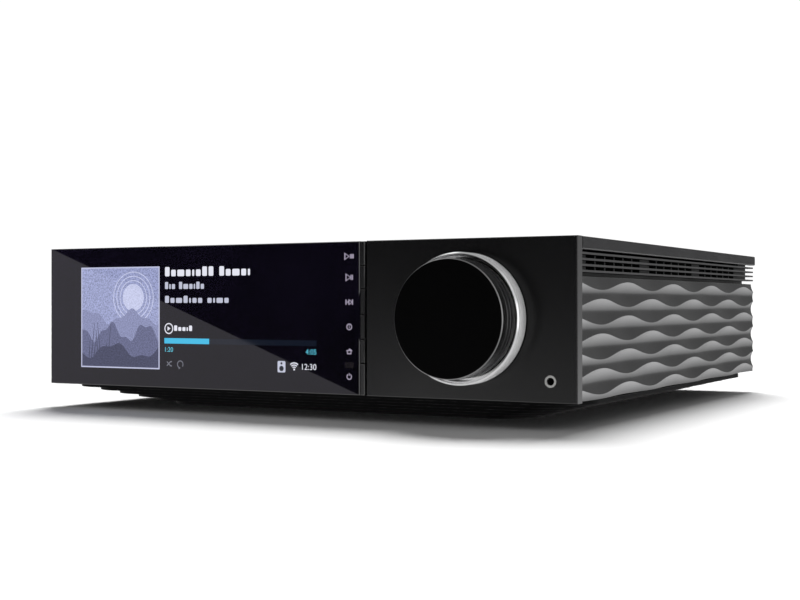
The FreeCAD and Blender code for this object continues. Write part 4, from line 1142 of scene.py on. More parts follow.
@dataclass
class WavePanel:
    """Side panel with smooth hollow flutes whose ridges wave along it."""

    side: Side
    outer: float = 158.2
    back: float = 150.8
    low: float = 13.5
    height: float = 57.2
    front: float = 6.5
    rear: float = 318.0
    pitches: int = 7
    radius: float = 9.45
    amplitude: float = 1.0
    wave: float = 74.5
    wave_start: float = -5.0
    steps_half: int = 6
    steps_along: int = 132
    keeper: Triple = (18.0, 10.0, 2.0)
    keeper_inset: float = 48.0
    keeper_heights: Point = (26.0, 58.0)
    tab: Triple = (9.0, 1.5, 3.7)
    tab_inset: float = 26.0
    tab_height: float = 42.0
    gap: float = 0.1
    overcut: float = 1.0
    crease: float = 28.0

    def shift(self, index: int, depth: float) -> float:
        """Find how far the centre line of a flute, counted from the top, is shifted inwards."""
        start = self.wave_start + (0 if index % 2 else self.wave / 2)
        return self.amplitude * math.cos(2 * math.pi * (depth - start) / self.wave)

    def section(self, depth: float) -> list[Point]:
        """Find the points of the fluted line across the panel.

        Args:
            depth: Depth behind the front face in millimetres.

        Returns:
            X and Z of each point from the top down, in millimetres.
        """
        pitch = self.height / self.pitches
        top = self.low + self.height
        lean = math.hypot(pitch, 2 * self.amplitude)
        crest = math.sqrt(self.radius ** 2 - lean ** 2 / 4) * pitch / lean
        centres = [(self.outer + crest - self.shift(k, depth), top - k * pitch)
                   for k in range(self.pitches + 1)]
        ends = [(centres[0][0] - self.radius, top)]
        for (x0, z0), (x1, z1) in zip(centres, centres[1:]):
            span = math.hypot(x1 - x0, z1 - z0)
            rise = math.sqrt(self.radius ** 2 - span ** 2 / 4)
            ends.append(((x0 + x1) / 2 - rise * (z0 - z1) / span, (z0 + z1) / 2 + rise * (x0 - x1) / span))
        ends.append((centres[-1][0] - self.radius, self.low))
        points = []
        for index, (xc, zc) in enumerate(centres):
            (xa, za), (xb, zb) = ends[index], ends[index + 1]
            start = math.atan2(za - zc, xc - xa)
            sweep = math.atan2(zb - zc, xc - xb) - start
            steps = self.steps_half if index in (0, self.pitches) else 2 * self.steps_half
            for step in range(steps):
                angle = start + sweep * step / steps
                points.append((xc - self.radius * math.cos(angle), zc + self.radius * math.sin(angle)))
        return points + [ends[-1]]

    def pockets(self) -> Workpiece:
        """Model what is cut out of the back for the keepers and the tabs.

        Returns:
            The cutter.
        """
        cutter = Workpiece("panel_pockets")
        rows = [(depth, z, self.keeper) for depth in (self.front + self.keeper_inset,
                                                      self.rear - self.keeper_inset)
                for z in self.keeper_heights]
        rows += [(depth, self.tab_height, self.tab) for depth in (self.front + self.tab_inset,
                                                                  self.rear - self.tab_inset)]
        for depth, z, (length, height, reach) in rows:
            half = length / 2 + self.gap
            rise = height / 2 + self.gap
            cutter.block(spot(self.back - self.overcut, depth - half, z - rise),
                         spot(self.back + reach + self.gap, depth + half, z + rise))
        return cutter.closed()

    def build(self, palette: Palette) -> Thing:
        """Model the panel.

        The face follows a formula, so the grid's points are moved in code; the rest is extruded from it.

        Args:
            palette: The materials.

        Returns:
            The finished panel.
        """
        name = self.side.value
        cutter = self.pockets()
        rows = 2 * self.steps_half * self.pitches
        piece = Workpiece("wave_panel_" + name)
        bpy.ops.mesh.primitive_grid_add(x_subdivisions=self.steps_along, y_subdivisions=rows, size=1)
        depths = [self.front + (self.rear - self.front) * k / self.steps_along
                  for k in range(self.steps_along + 1)]
        sections = [self.section(depth) for depth in depths]

        def fluted(_: int, flat: Vector) -> Vector:
            """Find where a point of the flat grid goes.

            Args:
                _: Its number, which is not needed.
                flat: Its place on the grid.

            Returns:
                Its place on the panel.
            """
            column = round((flat.x + 0.5) * self.steps_along)
            x, z = sections[column][round((0.5 - flat.y) * rows)]
            return spot(x, depths[column], z)
        piece.take().reshape(fluted)
        bpy.ops.mesh.select_mode(type="EDGE")
        bpy.ops.mesh.select_all(action="DESELECT")
        bpy.ops.mesh.select_non_manifold(extend=False)
        bpy.ops.mesh.extrude_edges_move()
        middle = spot(self.back, (self.front + self.rear) / 2, self.low + self.height / 2)
        bpy.ops.transform.resize(value=(0, 1, 1), center_override=middle)
        bpy.ops.mesh.edge_face_add()
        piece.outwards().without(cutter)
        if self.side is Side.LEFT:
            bpy.ops.mesh.select_all(action="SELECT")
            bpy.ops.transform.mirror(orient_type="GLOBAL", constraint_axis=(True, False, False),
                                     center_override=(0, 0, 0))
        return piece.done("panel_aluminium", palette["panel_aluminium"], self.crease, "panel_" + name,
                          ("side_panel_" + name,))


@dataclass
class Knob:
    """Volume ring with its knurl and polished bevel, and the select disc inside it."""

    palette: Palette
    x: float = 102.9
    z: float = 51.2
    ring_radius: float = 31.0
    bore: float = 29.25
    step: float = 29.9
    front: float = -9.6
    back: float = -0.8
    bevel: float = 0.7
    step_depth: float = 0.8
    web_front: float = -3.9
    shaft: float = 3.5
    shaft_bore: float = 2.05
    shaft_end: float = 11.7
    rear_chamfer: Point = (0.15, 0.25)
    shoulder: Point = (0.12, 0.2)
    brow: float = 0.05
    rounding: Point = (0.03, 0.06)
    bore_rows: int = 3
    bore_pitch: float = 1.2
    teeth: int = 200
    knurl_rows: int = 16
    knurl_depth: float = 0.36
    knurl_gap: float = 0.35
    reach: float = 0.01
    ring_crease: float = 12.0
    disc_radius: float = 27.9
    disc_front: float = -20.0
    disc_back: float = -6.0
    disc_bevel: float = 0.45
    disc_chamfer: float = 0.3
    disc_steps: int = 192
    disc_crease: float = 20.0
    flank_grooves: Point = (-15.2, -11.9)
    groove: float = 0.22
    inner_bore: float = 2.0
    bore_end: float = -17.5

    def ring_profile(self, start: float, end: float) -> list[Point]:
        """Draw the ring's section.

        Args:
            start: Depth at which the knurl starts.
            end: Depth at which it ends.

        Returns:
            Radius and depth of each point.
        """
        outer, rows, front = self.ring_radius, self.knurl_rows, self.front
        lip, shelf = front + self.bevel, front + self.step_depth
        fine, soft = self.rounding
        tail = (outer - self.rear_chamfer[0], self.back)
        side = [(outer, start + (end - start) * k / rows) for k in range(rows + 1)]
        nose = [(outer - self.shoulder[0], lip + self.shoulder[1]), (outer - self.brow, lip),
                (outer - self.bevel + fine, front + fine), (outer - self.bevel - soft, front),
                (self.step + soft, front), (self.step, front + soft), (self.step, shelf), (self.bore, shelf)]
        inside = [(self.bore, shelf + k * self.bore_pitch) for k in range(1, self.bore_rows + 1)]
        rest = [(self.bore, self.web_front), (self.shaft_bore, self.web_front),
                (self.shaft_bore, self.shaft_end), (self.shaft, self.shaft_end), (self.shaft, self.back)]
        return [tail] + side + nose + inside + rest + [tail]

    def build_ring(self) -> Thing:
        """Spin the ring and press the knurl into its side.

        Returns:
            The finished ring.
        """
        start = self.back - self.rear_chamfer[1]
        end = self.front + self.bevel + self.knurl_gap
        centre = spot(self.x, 0, self.z)
        rim = self.ring_radius - self.reach
        piece = Workpiece("knob_ring").turned(self.ring_profile(start, end), self.x, self.z, 2 * self.teeth)
        bpy.ops.mesh.select_mode(type="VERT")
        bpy.ops.mesh.select_all(action="DESELECT")
        mesh = bmesh.from_edit_mesh(piece.thing.data)
        for vertex in mesh.verts:
            place = vertex.co - centre
            depth = place.y / MM
            if math.hypot(place.x, place.z) / MM < rim or not end < depth < start:
                continue
            row = round((depth - start) / (end - start) * self.knurl_rows)
            column = round(math.atan2(place.z, place.x) / math.pi * self.teeth)
            vertex.select_set((row + column) % 2 == 0 and 0 < row < self.knurl_rows)
        bmesh.update_edit_mesh(piece.thing.data)
        piece.scaled(1 - self.knurl_depth / self.ring_radius, centre)
        piece.select(lambda face: len(face.verts) == 4 and any(
            math.hypot(vertex.co.x - centre.x, vertex.co.z - centre.z) / MM > rim for vertex in face.verts))
        bpy.ops.mesh.quads_convert_to_tris(quad_method="SHORTEST_DIAGONAL", ngon_method="BEAUTY")
        return piece.done("ring_aluminium", self.palette["ring_aluminium"], self.ring_crease, "volume_knob",
                          ("volume_ring",))

    def build_disc(self) -> Thing:
        """Spin the disc with its bevel and the fine grooves round its side.

        Returns:
            The finished disc.
        """
        radius, groove = self.disc_radius, self.groove
        profile = [(0.0, self.disc_front), (radius * 0.5, self.disc_front),
                   (radius - self.disc_bevel, self.disc_front), (radius, self.disc_front + self.disc_bevel)]
        for place in self.flank_grooves:
            profile += [(radius, place), (radius - groove, place + groove),
                        (radius - groove, place + 3 * groove), (radius, place + 4 * groove)]
        profile += [(radius, self.disc_back - self.disc_chamfer),
                    (radius - self.disc_chamfer, self.disc_back), (self.inner_bore, self.disc_back),
                    (self.inner_bore, self.bore_end), (0.0, self.bore_end)]
        piece = Workpiece("knob_disc").turned(profile, self.x, self.z, self.disc_steps)
        disc = piece.done("disc_metal", self.palette["disc_metal"], self.disc_crease, "select_knob",
                          ("select_disc",))
        disc.data.materials.append(self.palette["disc_flank"])
        disc.data.materials.append(self.palette["disc_edge"])
        flank, edge = 1, 2
        side = (radius - self.disc_bevel / 2 - self.disc_chamfer) * MM
        bevel = (self.disc_front + self.disc_bevel) * MM
        for face in disc.data.polygons:
            place = face.center - spot(self.x, 0, self.z)
            if math.hypot(place.x, place.z) > side:
                face.material_index = edge if place.y < bevel else flank
        return disc

    def build(self) -> None:
        """Build the ring and the disc."""
        self.build_ring()
        self.build_disc()


@dataclass(frozen=True)
class Hills:
    """Row of hills on the cover picture: a slow wave with a quicker ripple on it."""

    glow: str
    height: float
    swing: float
    wave: float
    phase: float
    ripple: float = 0.35
    quicker: float = 2.65

    def top(self, x: float) -> float:
        """Find the height of the crest at a distance from the picture's left edge.

        Args:
            x: The distance in millimetres.

        Returns:
            The height in millimetres.
        """
        turn = 2 * math.pi * x / self.wave
        ripple = self.ripple * math.sin(self.quicker * turn + 2 * self.phase)
        return self.height + self.swing * (math.sin(turn + self.phase) + ripple)


class Block(Enum):
    """Block in a line of words: its letter, its width and its height, as shares of a tall one."""

    TALL = ("t", 1.0, 1.0)
    WIDE = ("m", 1.5, 0.7)
    LOW = ("n", 1.0, 0.7)
    THIN = ("i", 0.45, 0.7)


@dataclass(frozen=True)
class Line:
    """Line of words on the display, where small blocks stand for the letters.

    Each word is a string with one letter of Block for each block.
    """

    name: str
    words: Sequence[str]
    left: float
    base: float
    height: float
    width: float
    glow: str
    gap: float = 0.36
    word_gap: float = 0.9
    corner: float = 0.22

    def build(self, level: float) -> Workpiece:
        """Stand the blocks side by side.

        Args:
            level: Depth of their faces in millimetres.

        Returns:
            The flat line.
        """
        kinds = {block.value[0]: block.value[1:] for block in Block}
        blocks = sum(kinds[letter][0] + self.gap for word in self.words for letter in word)
        unit = self.width / (blocks + self.word_gap * (len(self.words) - 1) - self.gap)
        line = Workpiece(self.name)
        x = self.left
        for word in self.words:
            for letter in word:
                width, tall = kinds[letter]
                line.patch((x, self.base), (x + width * unit, self.base + tall * self.height), level,
                           self.corner * unit)
                x += (width + self.gap) * unit
            x += self.word_gap * unit
        return line


@dataclass
class Screen:
    """What the display shows: a cover picture, lines, a progress bar and small signs."""

    palette: Palette
    level: float = -0.02
    layer: float = 0.004
    sunk: float = 0.9
    art_low: Point = (-135.8, 22.8)
    art_high: Point = (-80.3, 78.1)
    art_border: float = 0.7
    sun_inset: Point = (17.5, 16.0)
    sun_radius: float = 7.4
    halo: Point = (9.0, 9.5)
    halo_pitch: float = 2.3
    halos: int = 3
    hills: tuple[Hills, ...] = (Hills("art_far", 27.5, 3.4, 31.0, 0.6),
                                Hills("art_mid", 19.0, 4.4, 24.0, 2.4),
                                Hills("art_near", 9.0, 3.6, 38.0, 4.1))
    hill_steps: int = 48
    reeds: int = 9
    reed_lift: float = 0.026
    reed_inset: float = 5.0
    reed_pitch: float = 1.7
    reed_foot: float = 4.0
    reed_height: float = 15.0
    reed_widths: Point = (0.7, 0.24)
    text_left: float = -76.6
    bar_low: float = 36.8
    bar_high: float = 39.7
    bar_end: float = -47.2
    bar_far: float = 19.6
    bar_lead: float = 0.4
    bar_gap: float = 0.01
    figure_share: float = 0.7
    figure_thickness: float = 0.012
    badge: Point = (-74.0, 44.8)
    shuffle: Point = (-75.5, 26.0)
    repeat: Point = (-66.3, 25.8)
    speaker_low: Point = (-3.9, 23.2)
    speaker_high: Point = (0.9, 29.0)
    fan: Point = (6.2, 24.7)

    def show(self, piece: Workpiece, glow: str) -> Thing:
        """Thicken a flat sign towards the glass and light it."""
        return piece.laid(-self.level * self.sunk, "display_panel", self.palette[glow])

    def build_art(self) -> None:
        """Lay out the cover picture: a sky with a low sun, rows of hills and reeds."""
        low, high = self.art_low, self.art_high
        self.show(Workpiece("art_border").patch(low, high, self.level), "art_edge")
        edge = self.art_border
        left, floor, right, top = low[0] + edge, low[1] + edge, high[0] - edge, high[1] - edge
        self.show(Workpiece("art_sky").patch((left, floor), (right, top), self.level - self.layer), "art_sky")
        middle, depth = (right - self.sun_inset[0], top - self.sun_inset[1]), self.level - 2 * self.layer
        sun = Workpiece("art_sun").disc(middle, self.sun_radius, depth, 64)
        for k in range(self.halos):
            radii = (self.halo[0] + self.halo_pitch * k, self.halo[1] + self.halo_pitch * k)
            sun.ring(middle, radii, depth, sides=96)
        self.show(sun, "art_sun")
        places = [right + (left - right) * k / self.hill_steps for k in range(self.hill_steps + 1)]
        for k, hills in enumerate(self.hills):
            points = [(left, floor), (right, floor)] + [(x, floor + hills.top(x - left)) for x in places]
            row = Workpiece(hills.glow).outline(points, self.level - (k + 3) * self.layer)
            self.show(row, hills.glow)
        self.build_reeds(left, floor)

    def build_reeds(self, left: float, floor: float) -> None:
        """Stand a few leaning reeds in the corner of the cover picture.

        Args:
            left: Left edge of the picture.
            floor: Lower edge of the picture.
        """
        reeds = Workpiece("art_reeds")
        foot_half, tip_half = (width / 2 for width in self.reed_widths)
        low = floor + self.reed_foot
        for k in range(self.reeds):
            foot = left + self.reed_inset + self.reed_pitch * k
            high = floor + self.reed_height + 6.5 * math.sin(1.7 * k) + 2.0 * (k % 3)
            tip = foot + 2.4 * math.sin(0.9 * k + 0.4)
            reeds.outline([(foot - foot_half, low), (foot + foot_half, low), (tip + tip_half, high),
                           (tip - tip_half, high)], self.level - self.reed_lift)
        self.show(reeds, "art_near")

    def build_lines(self) -> None:
        """Lay out the lines of words."""
        for line in (Line("line_title", ("tnmnintt", "tnmni"), self.text_left, 72.7, 5.0, 55.6,
                          "screen_white"),
                     Line("line_second", ("tin", "tmnitn"), self.text_left, 65.9, 3.8, 26.0, "screen_soft"),
                     Line("line_third", ("tnmtinn", "nimn"), self.text_left, 58.5, 3.8, 42.0, "screen_soft"),
                     Line("line_source", ("tnnit",), -70.4, 43.6, 2.9, 12.0, "screen_white")):
            self.show(line.build(self.level), line.glow)

    def build_bar(self) -> None:
        """Lay out the progress bar: what has played and the rest."""
        for name, left, right, glow in (
                ("bar_played", self.text_left - self.bar_lead, self.bar_end, "screen_cyan"),
                ("bar_rest", self.bar_end + self.bar_gap, self.bar_far, "screen_rest")):
            bar = Workpiece(name).patch((left, self.bar_low), (right, self.bar_high), self.level)
            self.show(bar, glow)

    def figures(self, name: str, words: str, place: Point, height: float, glow: str,
                align: Align = Align.RIGHT) -> Thing:
        """Set a few figures as a thin mesh.

        Args:
            name: Name of the piece.
            words: The figures.
            place: X and Z of one end of their base line, in millimetres.
            height: Height of the figures in millimetres.
            glow: Name of their light.
            align: Which end of the base line it is.

        Returns:
            The finished object.
        """
        bpy.ops.object.select_all(action="DESELECT")
        bpy.ops.object.text_add(location=spot(place[0], self.level, place[1]), rotation=UPRIGHT)
        text = bpy.context.object
        text.name = name
        text.data.body = words
        text.data.size = height * MM / self.figure_share
        text.data.align_x = align.value
        text.data.extrude = self.figure_thickness * MM
        bpy.ops.object.convert(target="MESH")
        mesh = bpy.context.object
        mesh.data.name = name
        bpy.ops.object.transform_apply(location=True, rotation=True, scale=True)
        return hand_over(mesh, CHASSIS, self.palette[glow])

    def build_times(self) -> None:
        """Set the time played, the whole time and the clock."""
        self.figures("time_played", "1:20", (self.text_left - 0.6, 32.4), 2.5, "screen_figures", Align.LEFT)
        self.figures("time_whole", "4:05", (self.bar_far + 0.1, 32.6), 2.7, "screen_figures")
        self.figures("clock", "12:30", (self.bar_far, 24.9), 3.0, "screen_white")

    def build_badge(self) -> None:
        """Draw the badge with a play arrow in a ring."""
        x, z = self.badge
        badge = Workpiece("badge").ring((x, z), (2.35, 2.95), self.level)
        self.show(badge.arrow((x - 0.2, z), 1.35, self.level), "screen_white")

    def build_order_signs(self) -> None:
        """Draw the shuffle sign of two crossing arrows, and the repeat sign."""
        x, z = self.shuffle
        stroke = ((0.0, -1.15), (0.6, -1.15), (2.9, 0.95), (2.9, 1.3), (2.4, 1.3), (0.2, -0.8))
        sign = Workpiece("sign_shuffle")
        for rise in (1, -1):
            points = [(x + across, z + rise * up) for across, up in stroke]
            sign.outline(points[::rise], self.level).arrow((x + 3.2, z + 1.15 * rise), 0.6, self.level)
        self.show(sign, "screen_dim")
        x, z = self.repeat
        sign = Workpiece("sign_repeat").ring((x, z), (1.6, 2.1), self.level, (-40.0, 250.0))
        self.show(sign.arrow((x - 0.6, z - 1.9), 0.85, self.level), "screen_dim")

    def build_source_signs(self) -> None:
        """Draw the loudspeaker with its two cones, and the fan of a radio link."""
        speaker = Workpiece("sign_speaker").patch(self.speaker_low, self.speaker_high, self.level, 0.7)
        self.show(speaker, "screen_soft")
        x = (self.speaker_low[0] + self.speaker_high[0]) / 2
        z, depth = self.speaker_low[1], self.level - 0.006
        cones = Workpiece("sign_speaker_cone").disc((x, z + 2.0), 1.35, depth).disc((x, z + 4.6), 0.6, depth)
        self.show(cones, "screen_rest")
        x, z = self.fan
        fan = Workpiece("sign_radio").disc((x, z + 0.2), 0.5, self.level, 20)
        for radii in ((1.15, 1.65), (2.15, 2.7), (3.2, 3.8)):
            fan.ring((x, z), radii, self.level, (48.0, 132.0), 60)
        self.show(fan, "screen_white")

    def build(self) -> None:
        """Build everything that the display shows."""
        self.build_art()
        self.build_lines()
        self.build_bar()
        self.build_times()
        self.build_badge()
        self.build_order_signs()
        self.build_source_signs()


@dataclass
class KeyMarks:
    """Printed marks beside the keys and the receiver's dark window between them."""

    palette: Palette
    x: float = 38.7
    level: float = -0.015
    sunk: float = 0.9
    share: float = 0.88
    heights: tuple[float, ...] = (81.5, 71.1, 58.9, 46.7, 34.6, 22.1)
    stroke: float = 0.45
    thin_stroke: float = 0.42
    outline_stroke: float = 0.34
    bar_corner: float = 0.08
    triangle_share: float = 0.62
    window_low: Point = (36.2, 26.4)
    window_high: Point = (41.3, 29.3)
    window_level: float = -0.01
    window_corner: float = 0.4

    def show(self, piece: Workpiece, height: float) -> None:
        """Thicken a mark towards the glass, scale what that leaves selected and finish the mark."""
        piece.thicken(-self.level * self.sunk).scaled(self.share, spot(self.x, self.level, height))
        piece.done("cover_glass", self.palette["key_mark"], None)

    def triangle(self, piece: Workpiece, tip: Point, size: float, pointing: int) -> None:
        """Add a hollow triangle that points left or right.

        Args:
            piece: The mark to add to.
            tip: X of its point from the key's middle, and its height, in millimetres.
            size: Its length in millimetres.
            pointing: 1 for right, -1 for left.
        """
        x, z = self.x + tip[0], tip[1]
        half = size * self.triangle_share
        points = [(x, z), (x - pointing * size, z + half), (x - pointing * size, z - half)]
        piece.outline(points[::-pointing], self.level)
        bpy.ops.mesh.select_mode(type="FACE")
        bpy.ops.mesh.inset(thickness=self.outline_stroke * MM)
        bpy.ops.mesh.delete(type="FACE")
        bpy.ops.mesh.select_mode(type="VERT")

    def bar(self, piece: Workpiece, across: float, z: float, width: float, height: float) -> None:
        """Add an upright or level bar.

        Args:
            piece: The mark to add to.
            across: Its middle from the key's middle, in millimetres.
            z: Its middle height in millimetres.
            width: Its width in millimetres.
            height: Its height in millimetres.
        """
        x = self.x + across
        piece.patch((x - width / 2, z - height / 2), (x + width / 2, z + height / 2), self.level,
                    self.bar_corner)

    def play(self, z: float) -> None:
        """Draw a triangle and three bars.

        Args:
            z: Height of the mark in millimetres.
        """
        mark = Workpiece("mark_play")
        self.triangle(mark, (-0.4, z), 2.1, 1)
        for k in range(3):
            self.bar(mark, 0.65 + 0.85 * k, z, 0.5, 2.2)
        self.show(mark, z)

    def pause(self, z: float) -> None:
        """Draw a triangle and two bars.

        Args:
            z: Height of the mark in millimetres.
        """
        mark = Workpiece("mark_playpause")
        self.triangle(mark, (0.5, z), 2.3, 1)
        for across in (1.05, 1.9):
            self.bar(mark, across, z, self.stroke, 2.6)
        self.show(mark, z)

    def skip(self, z: float) -> None:
        """Draw two triangles between two bars.

        Args:
            z: Height of the mark in millimetres.
        """
        mark = Workpiece("mark_skip")
        self.bar(mark, -1.95, z, self.stroke, 2.7)
        for pointing in (-1, 1):
            self.triangle(mark, (1.5 * pointing, z), 1.6, pointing)
        self.bar(mark, 1.95, z, self.stroke, 2.7)
        self.show(mark, z)

    def info(self, z: float) -> None:
        """Draw a small i in a ring.

        Args:
            z: Height of the mark in millimetres.
        """
        mark = Workpiece("mark_info").ring((self.x, z), (1.25, 1.65), self.level)
        self.bar(mark, 0.0, z - 0.2, 0.4, 0.9)
        self.bar(mark, 0.0, z + 0.65, 0.4, 0.35)
        self.show(mark, z)

    def home(self, z: float) -> None:
        """Draw a house: two walls, a floor and a roof.

        Args:
            z: Height of the mark in millimetres.
        """
        mark = Workpiece("mark_home")
        for across in (-1.05, 1.05):
            self.bar(mark, across, z - 0.4, self.thin_stroke, 2.0)
        self.bar(mark, 0.0, z - 1.2, 2.4, self.thin_stroke)
        roof = ((-1.75, 0.45), (-1.75, 0.05), (0.0, 1.1), (1.75, 0.05), (1.75, 0.45), (0.0, 1.6))
        mark.outline([(self.x + across, z + up) for across, up in roof], self.level)
        self.show(mark, z)

    def power(self, z: float) -> None:
        """Draw an open ring with a bar in the gap.

        Args:
            z: Height of the mark in millimetres.
        """
        mark = Workpiece("mark_power").ring((self.x, z), (1.15, 1.55), self.level, (120.0, 420.0), 60)
        self.bar(mark, 0.0, z + 1.15, self.thin_stroke, 1.3)
        self.show(mark, z)

    def build(self) -> None:
        """Build the six marks and the window."""
        marks = (self.play, self.pause, self.skip, self.info, self.home, self.power)
        for mark, height in zip(marks, self.heights):
            mark(height)
        window = Workpiece("receiver_window").patch(self.window_low, self.window_high, self.window_level,
                                                    self.window_corner)
        window.laid(-self.window_level * self.sunk, "cover_glass", self.palette["receiver_film"])


@dataclass
class Screw:
    """Round-headed screw with a hexagon recess, modelled once and copied with a mesh of its own."""

    palette: Palette
    x: float
    seat: float
    z: float
    radius: float = 2.6
    height: float = 1.3
    rim: float = 0.25
    flat: float = 1.5
    dome_steps: int = 6
    turn_steps: int = 32
    recess: float = 1.25
    recess_depth: float = 0.8
    overcut: float = 0.5

    def build(self) -> Thing:
        """Model the first screw on a face that looks to the rear.

        Returns:
            The finished screw.
        """
        crown = self.seat + self.height
        profile = [(0.0, self.seat), (self.radius, self.seat)]
        for step in range(self.dome_steps + 1):
            angle = math.pi / 2 * step / self.dome_steps
            profile.append((self.flat + (self.radius - self.flat) * math.cos(angle),
                            self.seat + self.rim + (self.height - self.rim) * math.sin(angle)))
        profile.append((0.0, crown))
        cutter = Workpiece("screw_recess").disc((self.x, self.z), self.recess, crown + self.overcut, 6)
        cutter.thicken(-self.overcut - self.recess_depth).closed()
        piece = Workpiece("screw_1").turned(profile, self.x, self.z, self.turn_steps)
        piece.outwards().without(cutter)
        return piece.done("keeper_steel", self.palette["screw_black"])

    def copy_to(self, first: Thing, number: int, place: Vector, size: float, down: bool = False) -> None:
        """Set a copy somewhere else.

        Args:
            first: The first screw.
            number: Number of the copy.
            place: Middle of its seat.
            size: Its size against the first one.
            down: Whether its head looks down instead of to the rear.
        """
        turn = Matrix.Rotation(math.radians(-90.0 if down else 0.0), 4, "X")
        matrix = Matrix.Translation(place) @ turn @ Matrix.Scale(size, 4)
        matrix = matrix @ Matrix.Translation(-spot(self.x, self.seat, self.z))
        copied(first, f"screw_{number}", matrix)


@dataclass(frozen=True)
class ContactRow:
    """Row of contacts in a port: first and last depth, lowest and highest face."""

    name: str
    x: float
    count: int
    pitch: float
    width: float
    depths: Point
    heights: Point
    bevel: float = 0.04

    def build(self, palette: Palette) -> None:
        """Stand the contacts side by side.

        Args:
            palette: The materials.
        """
        piece = Workpiece(self.name)
        for k in range(self.count):
            middle = self.x + (k - (self.count - 1) / 2) * self.pitch
            piece.block(spot(middle - self.width / 2, self.depths[0], self.heights[0]),
                        spot(middle + self.width / 2, self.depths[1], self.heights[1]))
        piece.bevelled(self.bevel, 1).done("port_metal", palette["contact_gold"])


@dataclass
class RearDetails:
    """Screws, contacts, rings, threads and signs on the rear panel, and screws under the plinth."""

    palette: Palette
    face: float = 318.0
    panel_x: Point = (145.0, 62.0)
    panel_z: Point = (18.5, 81.0)
    block_face: float = 320.5
    block_screws: tuple[Point, ...] = ((-10.3, 40.2), (-10.3, 59.8), (-83.0, 40.2), (-83.0, 59.8))
    block_screw_size: float = 0.62
    phono_x: Point = (94.15, 112.15)
    phono_z: Point = (54.0, 36.0)
    phono_ring: Point = (4.2, 5.7)
    phono_ring_height: float = 0.4
    phono_screw_size: float = 0.75
    soft_edge: float = 0.12
    post_x: tuple[float, ...] = (-18.07, -37.09, -56.11, -75.13)
    sign_z: float = 60.4
    sign_arm: float = 1.3
    sign_half: float = 0.22
    sign_height: float = 0.05
    aerial_x: Point = (140.11, 19.97)
    aerial_z: float = 72.0
    thread_start: float = 320.1
    thread_end: float = 326.3
    thread_pitch: float = 0.62
    thread_radii: Triple = (2.9, 3.04, 3.3)
    thread_steps: int = 48
    thread_crease: float = 12.0
    network_x: float = 3.96
    serial_x: float = 24.09
    video_x: float = 45.01
    lamp_offset: float = 5.4
    lamp_width: float = 3.0
    lamp_heights: Point = (40.9, 42.3)
    lamp_corner: float = 0.25
    lamp_thickness: float = 0.1
    port_face: float = 319.0
    door_x: float = 65.94
    door_z: float = 36.0
    door_half: float = 2.95
    door_depths: Point = (315.6, 316.4)
    door_frame: float = 0.5
    door_hollow: float = 0.25
    rocker_x: float = -116.02
    rocker_low: Point = (321.85, 56.7)
    rocker_high: Point = (322.93, 63.5)
    rocker_slope: float = 16.0
    rocker_ring: Point = (1.15, 1.5)
    rocker_bar: Point = (0.2, 1.5)
    rocker_sign_height: float = 0.04
    base_z: float = 0.76
    base_screws: tuple[Point, ...] = ((50.0, 66.0), (-50.0, 66.0), (50.0, 248.0), (-50.0, 248.0),
                                      (95.0, 157.0), (-95.0, 157.0))
    base_screw_size: float = 0.5

    def build_screws(self) -> None:
        """Fasten the panel, the terminal plate, the phono carrier and the plinth."""
        far, near = self.panel_x
        low, high = self.panel_z
        panel = ((far, high), (-far, low), (-far, high), (near, high), (-near, high), (near, low),
                 (-near, low))
        screw = Screw(self.palette, far, self.face, low)
        first = screw.build()
        places = [(spot(x, self.face, z), 1.0) for x, z in panel]
        places += [(spot(x, self.block_face, z), self.block_screw_size) for x, z in self.block_screws]
        places.append((spot(sum(self.phono_x) / 2, self.face, sum(self.phono_z) / 2), self.phono_screw_size))
        for number, (place, size) in enumerate(places, 2):
            screw.copy_to(first, number, place, size)
        for number, (x, depth) in enumerate(self.base_screws, len(places) + 2):
            screw.copy_to(first, number, spot(x, depth, self.base_z), self.base_screw_size, True)

    def build_phono_rings(self) -> None:
        """Lay a coloured ring round each phono barrel."""
        level = self.face + self.phono_ring_height
        for row, (z, finish) in enumerate(zip(self.phono_z, ("mark_white", "mark_red")), 1):
            for column, x in enumerate(self.phono_x, 1):
                ring = Workpiece(f"phono_ring_{row}_{column}").ring((x, z), self.phono_ring, level)
                ring.thicken(-self.phono_ring_height).bevelled(self.soft_edge)
                ring.done("optical_plastic", self.palette[finish])

    def build_threads(self) -> None:
        """Cut the thread of both aerial sockets."""
        inner, root, crest = self.thread_radii
        pitch = self.thread_pitch
        profile = [(inner, self.thread_start)]
        for k in range(int((self.thread_end - self.thread_start) / pitch)):
            start = self.thread_start + k * pitch
            profile += [(root, start), (crest, start + pitch / 2)]
        profile += [(root, self.thread_end), (inner, self.thread_end), (inner, self.thread_start)]
        x, other_x = self.aerial_x
        piece = Workpiece("aerial_thread_1").turned(profile, x, self.aerial_z, self.thread_steps)
        first = piece.done("stud_plate", self.palette["contact_gold"], self.thread_crease)
        move = Matrix.Translation(Vector(((other_x - x) * MM, 0.0, 0.0)))
        copied(first, "aerial_thread_2", move)

    def build_contacts(self) -> None:
        """Line the ports with contacts."""
        for row in (
                ContactRow("network_contacts", self.network_x, 8, 1.02, 0.4, (308.0, 317.0), (39.3, 39.7)),
                ContactRow("serial_contacts", self.serial_x, 4, 2.4, 1.1, (309.0, 317.4), (36.3, 36.5)),
                ContactRow("video_contacts_top", self.video_x, 10, 1.0, 0.5, (309.0, 317.4), (36.7, 36.85)),
                ContactRow("video_contacts_low", self.video_x, 9, 1.0, 0.5, (309.0, 317.4), (35.15, 35.3))):
            row.build(self.palette)

